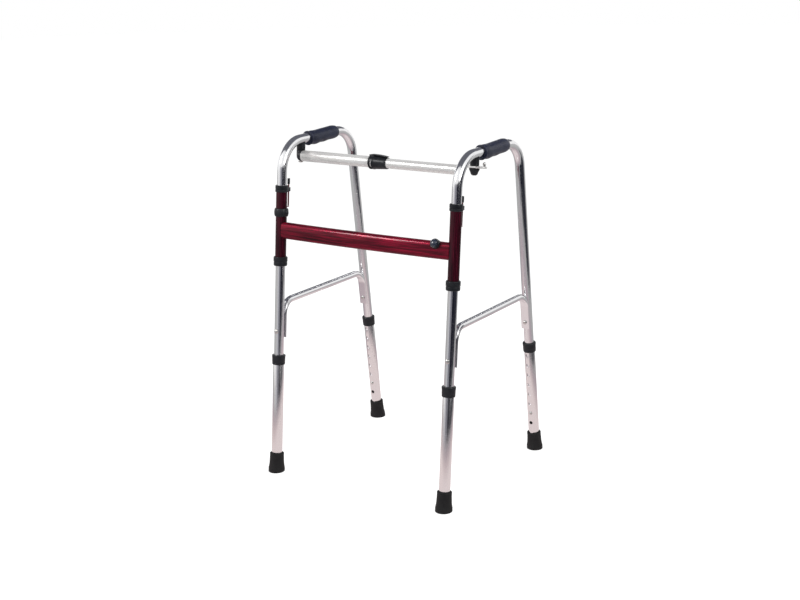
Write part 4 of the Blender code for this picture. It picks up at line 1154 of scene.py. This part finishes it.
def makeEndStud():
    low, radius = plateTop() + walker["gap"], endStud["radius"]
    tip = low + endStud["height"]
    rings = [(walker["pole"], low), *edgeRings(radius, low, endStud["neck"])]
    rings += [*edgeRings(radius, tip, endStud["dome"]), (walker["pole"], tip)]
    piece = placeAt(grained(stackRings("barEndStud", rings, sides=48)), hingeEnd(endStud["reach"]))
    finishPiece(piece, "steel", "bar_inner", "bar_end_stud")


def makeBushes():
    # Each bush stands on the washer or the plate and is hollowed to the handle's curve
    hole, radius = topBar["hole"], topBar["bush"]
    seats = {-1: outerFit + walker["gap"] + topBar["washer"], 1: plateTop() + walker["gap"]}
    high = handleDrop() - topBar["bushTop"]
    runs = sideRuns()
    saddleRings = [(frameFit, mark) for mark in stations(runs, *topBar["saddleSteps"])]
    for side, name in sideName.items():
        low = seats[side]
        rings = [(hole, low), *edgeRings(radius, low, topBar["bushEdge"]), (radius, high), (hole, high)]
        bush = placeAt(stackRings(name + "BarBush", rings, closed=True), barPlace(side))
        cutAway(bush, bendAlong(stackRings("saddle", saddleRings, sides=64), runs, hingeAt(side)))
        finishPiece(grained(bush, angle=35), "blackPlastic", name + "_side", name + "_bar_bush")


def makePivotBolts():
    # The right one has a domed head below the bar; both end in a nut inside the handle
    tubeWall = (walker["frameTube"] - sideTube["wall"]) / math.cos(walker["frontLean"])
    floor = handleDrop() - tubeWall + pivotBolt["nutAboveWall"]
    nut, top = pivotBolt["nut"], floor + pivotBolt["nutHeight"]
    shank, pole, under, low = rivet["shank"], walker["pole"], -outerFit, plateTop() + walker["gap"]
    head = [(pole, under - pivotBolt["headHeight"]), *edgeRings(rivet["head"], under, pivotBolt["head"])]
    for side, rings in ((-1, [*head, (shank, under)]), (1, [(pole, low), (shank, low)])):
        rings += [(shank, floor), (nut, floor), (nut, top), (pole, top)]
        name = sideName[side]
        bolt = grained(stackRings(name + "PivotBolt", rings, pivotBolt["sides"]))
        finishPiece(placeAt(bolt, barPlace(side)), "steel", name + "_side", name + "_pivot_bolt")


def makeWasher():
    hole, radius, edge = topBar["hole"], topBar["bush"], topBar["washerEdge"]
    low, high = outerFit, outerFit + topBar["washer"]
    rings = [(hole, low), (radius - edge, low), (radius, low + edge)]
    rings += [(radius, high - edge), (radius - edge, high), (hole, high)]
    washer = grained(stackRings("barWasher", rings, sides=64, closed=True))
    finishPiece(placeAt(washer, barPlace()), "blackPlastic", "bar_outer", "bar_washer")


# clamp on the telescopic bar

clamp = {
    "start": 0.1950, "length": 0.0450, "ringLength": 0.0120, "ring": 0.0160, "shoulder": 0.01525,
    "nose": 0.0131, "noseEdge": 0.0012, "coneSteps": 8, "pin": 0.0013, "pinFromStart": 0.0050,
    "pinHeight": 0.0157, "cam": 0.0026, "earWall": 0.0022, "earAbove": 0.0020, "earShort": 0.0010,
    "earEdge": 0.0009, "sunk": 0.0006, "pocketOver": 0.0020,
    "pocketHeight": 0.02, "windowCutter": (0.05, 0.04),
    "windowFrom": 0.0040, "windowLength": 0.0050, "windowTop": 0.0040,
    "armWidth": 0.0130, "armLength": 0.0400, "armThickness": 0.0024, "armGap": 0.0006, "armRoot": 0.0030,
    "heel": 0.0020, "tipLength": 0.0010, "armSwell": 0.0005,
    "rootTop": 0.95, "tipTop": 0.5, "tipFace": 0.25,   # shares of the cam and of the arm's thickness
    "lines": 5, "line": 0.0005, "lineStart": 0.62, "linePitch": 0.0026, "lineLength": 0.8,
    "lineAbove": 0.0002,
    # steps in millimetres: the ring's two edges and the nose
    "mouthEdge": ((-0.8, 0), (-0.2, 0.4), (0, 1.0)), "ringEdge": ((0, -0.6), (-0.6, 0)),
    "shoulderEdge": ((0, 0.6),), "noseTip": ((0, -1.2), (-0.4, -0.3), (-1.0, 0)),
}


def clampPivot():
    return Vector((clamp["start"] + clamp["pinFromStart"], 0, clamp["pinHeight"]))


def clampRings():
    start, end = clamp["start"], clamp["start"] + clamp["length"]
    ringEnd, seat = start + clamp["ringLength"], topBar["outerEnd"] + walker["gap"]
    ring, shoulder, nose = clamp["ring"], clamp["shoulder"], clamp["nose"]
    rings = [(outerFit, start), *edgeRings(ring, start, clamp["mouthEdge"])]
    rings += edgeRings(ring, ringEnd, clamp["ringEdge"])
    rings += edgeRings(shoulder, ringEnd, clamp["shoulderEdge"])
    for step in range(1, clamp["coneSteps"]):
        share = step / clamp["coneSteps"]
        rings.append((blend(shoulder, nose, share), blend(ringEnd, end - clamp["noseEdge"], share)))
    rings += edgeRings(nose, end, clamp["noseTip"])
    return rings + [(frameFit, end), (frameFit, seat), (outerFit, seat)]


def makeClamp():
    # A collar with two ears, a pocket between them for the lever and a window below
    body = stackRings("barClamp", clampRings(), closed=True)
    placeAt(body, Matrix.Rotation(math.radians(90), 4, "Y"))
    middle = clamp["start"] + clamp["ringLength"] / 2
    slot = clamp["armWidth"] + 2 * walker["gap"]
    top, low = clamp["pinHeight"] + clamp["earAbove"], walker["outerTube"] - clamp["sunk"]
    earSize = (clamp["ringLength"] - clamp["earShort"], slot + 2 * clamp["earWall"], top - low)
    weldOn(body, box("ears", earSize, (middle, 0, (top + low) / 2), clamp["earEdge"], segments=3))
    floor = math.sqrt(outerFit ** 2 - (slot / 2) ** 2) - clamp["sunk"]
    pocketSize = (clamp["ringLength"] + clamp["pocketOver"], slot, clamp["pocketHeight"])
    pocket = box("pocket", pocketSize, (middle, 0, floor + clamp["pocketHeight"] / 2))
    windowAt = clamp["start"] + clamp["windowFrom"] + clamp["windowLength"] / 2
    wide, high = clamp["windowCutter"]
    window = box("window", (clamp["windowLength"], wide, high), (windowAt, 0, clamp["windowTop"] - high / 2))
    cutAway(body, pocket, window)
    placeAt(grained(softenEdges(body, width=0.00025), angle=38), barPlace())
    finishPiece(body, "blackPlastic", "bar_outer", "bar_clamp")


def makeClampPin():
    reach = Vector((0, clamp["armWidth"] / 2 + walker["gap"] + clamp["earWall"], 0))
    pin = cylinder("clampPin", clamp["pin"], clampPivot() - reach, clampPivot() + reach, sides=40)
    placeAt(grained(softenEdges(pin, width=0.0003)), barPlace())
    finishPiece(pin, "steel", "bar_outer", "clamp_pin")


def makeClampLever():
    # The side view is drawn round the pin as a flat face and pulled to the arm's width
    cam, reach, thick = clamp["cam"], clamp["armLength"], clamp["armThickness"]
    ringEnd = clamp["ringLength"] - clamp["pinFromStart"]
    shoulder = clamp["shoulder"] - clamp["pinHeight"] + clamp["armGap"]
    nose = clamp["nose"] - clamp["pinHeight"] + clamp["armGap"]
    rootX, tipX = ringEnd + clamp["armRoot"], reach - clamp["tipLength"]
    rootTop, tipTop = cam * clamp["rootTop"], nose + thick * clamp["tipTop"]

    def armTop(x):
        share = (tipX - x) / (tipX - rootX)
        return blend(tipTop, rootTop, share) + math.sin(math.pi * share) * clamp["armSwell"]

    outline = [(cam * math.cos(angle), cam * math.sin(angle)) for angle in turns(90, 290, 20)]
    outline += [(ringEnd + clamp["heel"], shoulder), (tipX, nose), (reach, nose + thick * clamp["tipFace"])]
    outline += [(x, armTop(x)) for x in (blend(tipX, rootX, step / 8) for step in range(9))]
    clearSelection()
    bpy.ops.mesh.primitive_circle_add(vertices=len(outline), radius=1.0, fill_type="NGON")
    arm = named("clampLever")
    half = clamp["armWidth"] / 2
    for vertex, (x, z) in zip(arm.data.vertices, outline):
        vertex.co = (x, -half, z)
    arm.data.update()
    editAll(arm)
    bpy.ops.mesh.extrude_region_move(TRANSFORM_OT_translate={"value": (0, 2 * half, 0)})
    leaveEdit()
    softenEdges(faceOutwards(arm), width=0.0004, angle=50, segments=3)
    side = half * clamp["lineLength"]
    for step in range(clamp["lines"]):
        x = reach * clamp["lineStart"] + step * clamp["linePitch"]
        level = armTop(x) + clamp["lineAbove"]
        cutAway(arm, cylinder("gripLine", clamp["line"], (x, -side, level), (x, side, level), sides=12))
    placeAt(grained(arm, angle=38), barPlace() @ Matrix.Translation(clampPivot()))
    finishPiece(arm, "blackPlastic", "bar_clamp_lever", "clamp_lever")


# studio

studio = {
    "floorSize": 14.0, "floorDrop": 0.0002, "floorTone": grey(0.90), "floorRoughness": 0.9,
    "floorGlow": 1.34, "floorShare": 0.60, "roomLight": 0.55, "mirroredReach": 4.0,
    # what the metal sees of the floor, away from the feet
    "mirrored": (
        (0.11, (0.82, 0.72, 0.72)), (0.155, (0.64, 0.54, 0.55)), (0.225, (0.44, 0.36, 0.40)),
        (0.30, grey(0.46)), (0.75, grey(0.54)),
    ),
}
softboxes = {
    # place, size, power, seen in the metal
    "keySoftbox": ((-1.6, -2.2, 2.3), (0.8, 0.8), 42.0, True),
    "fillSoftbox": ((2.4, -0.6, 1.6), (1.2, 1.6), 26.0, True),
    "topSoftbox": ((0.2, 0.8, 2.6), (1.6, 1.6), 34.0, False),
}
ceiling = {"left": -6.0, "right": 1.5, "front": -1.1, "back": 6.5, "height": 2.8, "tone": (0.14, 0.145, 0.17)}
cards = {
    # angle round the object, distance, width, tone
    "cardPale": (-105, 1.35, 0.62, (0.55, 0.55, 0.58)),
    "cardLeft": (-76, 1.35, 0.78, (0.22, 0.22, 0.25)),
    "cardMiddle": (-41, 1.35, 0.92, (0.012, 0.013, 0.022)),
    "cardRight": (-1, 1.35, 1.08, (0.022, 0.023, 0.032)),
    "cardFar": (31, 1.6, 0.7, (0.07, 0.07, 0.085)),
}
cardHeight = 1.0
view = {
    "azimuth": 32.68, "elevation": 15.29, "distance": 3.2132, "aim": 0.400, "roll": -1.0, "lens": 62.07,
    "sensor": 36.0, "shift": (-0.0064, -0.0020),
}


def makeSoftbox(name, place, size, power, mirrored):
    light = bpy.data.lights.new(name, "AREA")
    light.shape = "RECTANGLE"
    light.size, light.size_y = size
    light.energy = power
    lamp = bpy.data.objects.new(name, light)
    bpy.context.scene.collection.objects.link(lamp)
    lamp.location = place
    away = Vector((0, 0, view["aim"])) - lamp.location
    lamp.rotation_euler = away.to_track_quat("-Z", "Y").to_euler()
    lamp.visible_glossy = mirrored


def mathNode(tree, operation, first, second):
    made = node(tree, "ShaderNodeMath", operation=operation)
    feed(tree, made.inputs, (first, second))
    return made.outputs[0]


def glow(tree, colour, strength=1.0):
    made = node(tree, "ShaderNodeEmission", Strength=strength)
    feed(tree, made.inputs, (colour,))
    return made.outputs["Emission"]


def mixShaders(tree, share, first, second):
    made = node(tree, "ShaderNodeMixShader")
    feed(tree, made.inputs, (share, first, second))
    return made.outputs["Shader"]


def makeFloor():
    # White to the camera but for the object's soft shadow; the metal sees it shade to grey away
    # from the feet
    clearSelection()
    bpy.ops.mesh.primitive_circle_add(
        vertices=96, radius=studio["floorSize"], fill_type="NGON", location=(0, 0, -studio["floorDrop"])
    )
    floor = named("studioFloor")
    tree, shader = newMaterial(
        "studioFloor", {"Base Color": studio["floorTone"], "Roughness": studio["floorRoughness"]}
    )
    path = node(tree, "ShaderNodeLightPath").outputs
    share = mathNode(tree, "MULTIPLY", path["Is Camera Ray"], studio["floorShare"])
    white = glow(tree, grey(1), studio["floorGlow"])
    seen = mixShaders(tree, share, shader.outputs["BSDF"], white)
    reach = node(tree, "ShaderNodeVectorMath", operation="LENGTH")
    tree.links.new(node(tree, "ShaderNodeTexCoord").outputs["Object"], reach.inputs[0])
    metres = mathNode(tree, "DIVIDE", reach.outputs["Value"], studio["mirroredReach"])
    mirrored = glow(tree, ramp(tree, metres, *studio["mirrored"]))
    both = mixShaders(tree, path["Is Glossy Ray"], seen, mirrored)
    tree.links.new(both, tree.nodes["Material Output"].inputs["Surface"])
    floor.data.materials.append(materials["studioFloor"])


def makeCard(name, place, tone):
    # A card beside or above the set, seen only in reflections
    clearSelection()
    bpy.ops.mesh.primitive_plane_add(size=1.0)
    card = placeAt(named(name), place)
    card.visible_camera = False
    card.visible_diffuse = False
    card.visible_shadow = False
    tree = newMaterial(name, {})[0]
    tree.links.new(glow(tree, (*tone, 1.0)), tree.nodes["Material Output"].inputs["Surface"])
    card.data.materials.append(materials[name])


def makeCeiling():
    left, right, front, back, height, tone = ceiling.values()
    place = Matrix.Translation(((left + right) / 2, (front + back) / 2, height))
    makeCard("cardCeiling", place @ Matrix.Diagonal((right - left, back - front, 1.0, 1.0)), tone)


def makeStandingCards():
    # Upright, and facing the object
    for name, (angle, distance, width, tone) in cards.items():
        turn = math.radians(angle)
        place = Matrix.Translation((distance * math.cos(turn), distance * math.sin(turn), cardHeight / 2))
        face = Matrix.Rotation(turn + math.pi / 2, 4, "Z") @ Matrix.Rotation(math.pi / 2, 4, "X")
        makeCard(name, place @ face @ Matrix.Diagonal((width, cardHeight, 1.0, 1.0)), tone)


def makeWorld():
    # Plain light from all round; the camera, metal and glass see white
    world = bpy.data.worlds.new("studio")
    world.use_nodes = True
    tree = world.node_tree
    room = tree.nodes["Background"]
    feed(tree, room.inputs, (grey(1), studio["roomLight"]))
    white = node(tree, "ShaderNodeBackground", Color=grey(1), Strength=1.0)
    path = node(tree, "ShaderNodeLightPath").outputs
    seen = mathNode(tree, "MAXIMUM", path["Is Camera Ray"], path["Is Glossy Ray"])
    through = mathNode(tree, "MAXIMUM", seen, path["Is Transmission Ray"])
    both = mixShaders(tree, through, room.outputs["Background"], white.outputs["Background"])
    tree.links.new(both, tree.nodes["World Output"].inputs["Surface"])
    bpy.context.scene.world = world


def makeCamera():
    turn, tip = math.radians(view["azimuth"]), math.radians(view["elevation"])
    ahead = Vector((-math.sin(turn) * math.cos(tip), math.cos(turn) * math.cos(tip), -math.sin(tip)))
    right = Vector((math.cos(turn), math.sin(turn), 0))
    up = right.cross(ahead)
    roll = math.radians(view["roll"])
    level = right * math.cos(roll) + up * math.sin(roll)
    upright = up * math.cos(roll) - right * math.sin(roll)
    lens = bpy.data.cameras.new("photoCamera")
    lens.lens, lens.sensor_width = view["lens"], view["sensor"]
    lens.shift_x, lens.shift_y = view["shift"]
    camera = bpy.data.objects.new("photoCamera", lens)
    bpy.context.scene.collection.objects.link(camera)
    place = Vector((0, 0, view["aim"])) - ahead * view["distance"]
    facing = Matrix((level, upright, -ahead)).transposed().to_4x4()
    camera.matrix_world = Matrix.Translation(place) @ facing
    bpy.context.scene.camera = camera


def makeStudio():
    makeFloor()
    makeWorld()
    for name, settings in softboxes.items():
        makeSoftbox(name, *settings)
    makeCeiling()
    makeStandingCards()
    bpy.context.scene.view_settings.view_transform = "Standard"
    makeCamera()
    print("studio ready")


def dressSprings():
    # The springs inside the legs stay as the CAD made them
    for name in sideName.values():
        for end in ends:
            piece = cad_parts[f"{name}_{end}_clip_spring"]
            piece.data.materials.clear()
            piece.data.materials.append(materials["springSteel"])


makeMaterials()
makeSideTubes()
makeGrips()
makeBraces()
makeRivets()
print("side frames done")
makeLowerLegs()
makeCrossbar()
makeSleeves()
makeUpperCollars()
makeLowerCollars()
makeLeverStrips()
makeLeverTips()
makeLeverBrackets()
makeLockRing()
makeKnobBezel()
makeKnob()
print("front frame done")
makeOuterTube()
makeEndPlug()
makeInnerTube()
makeBarKnob()
makeEndStud()
makeBushes()
makePivotBolts()
makeWasher()
makeClamp()
makeClampPin()
makeClampLever()
print("top bar done")
dressSprings()
makeStudio()
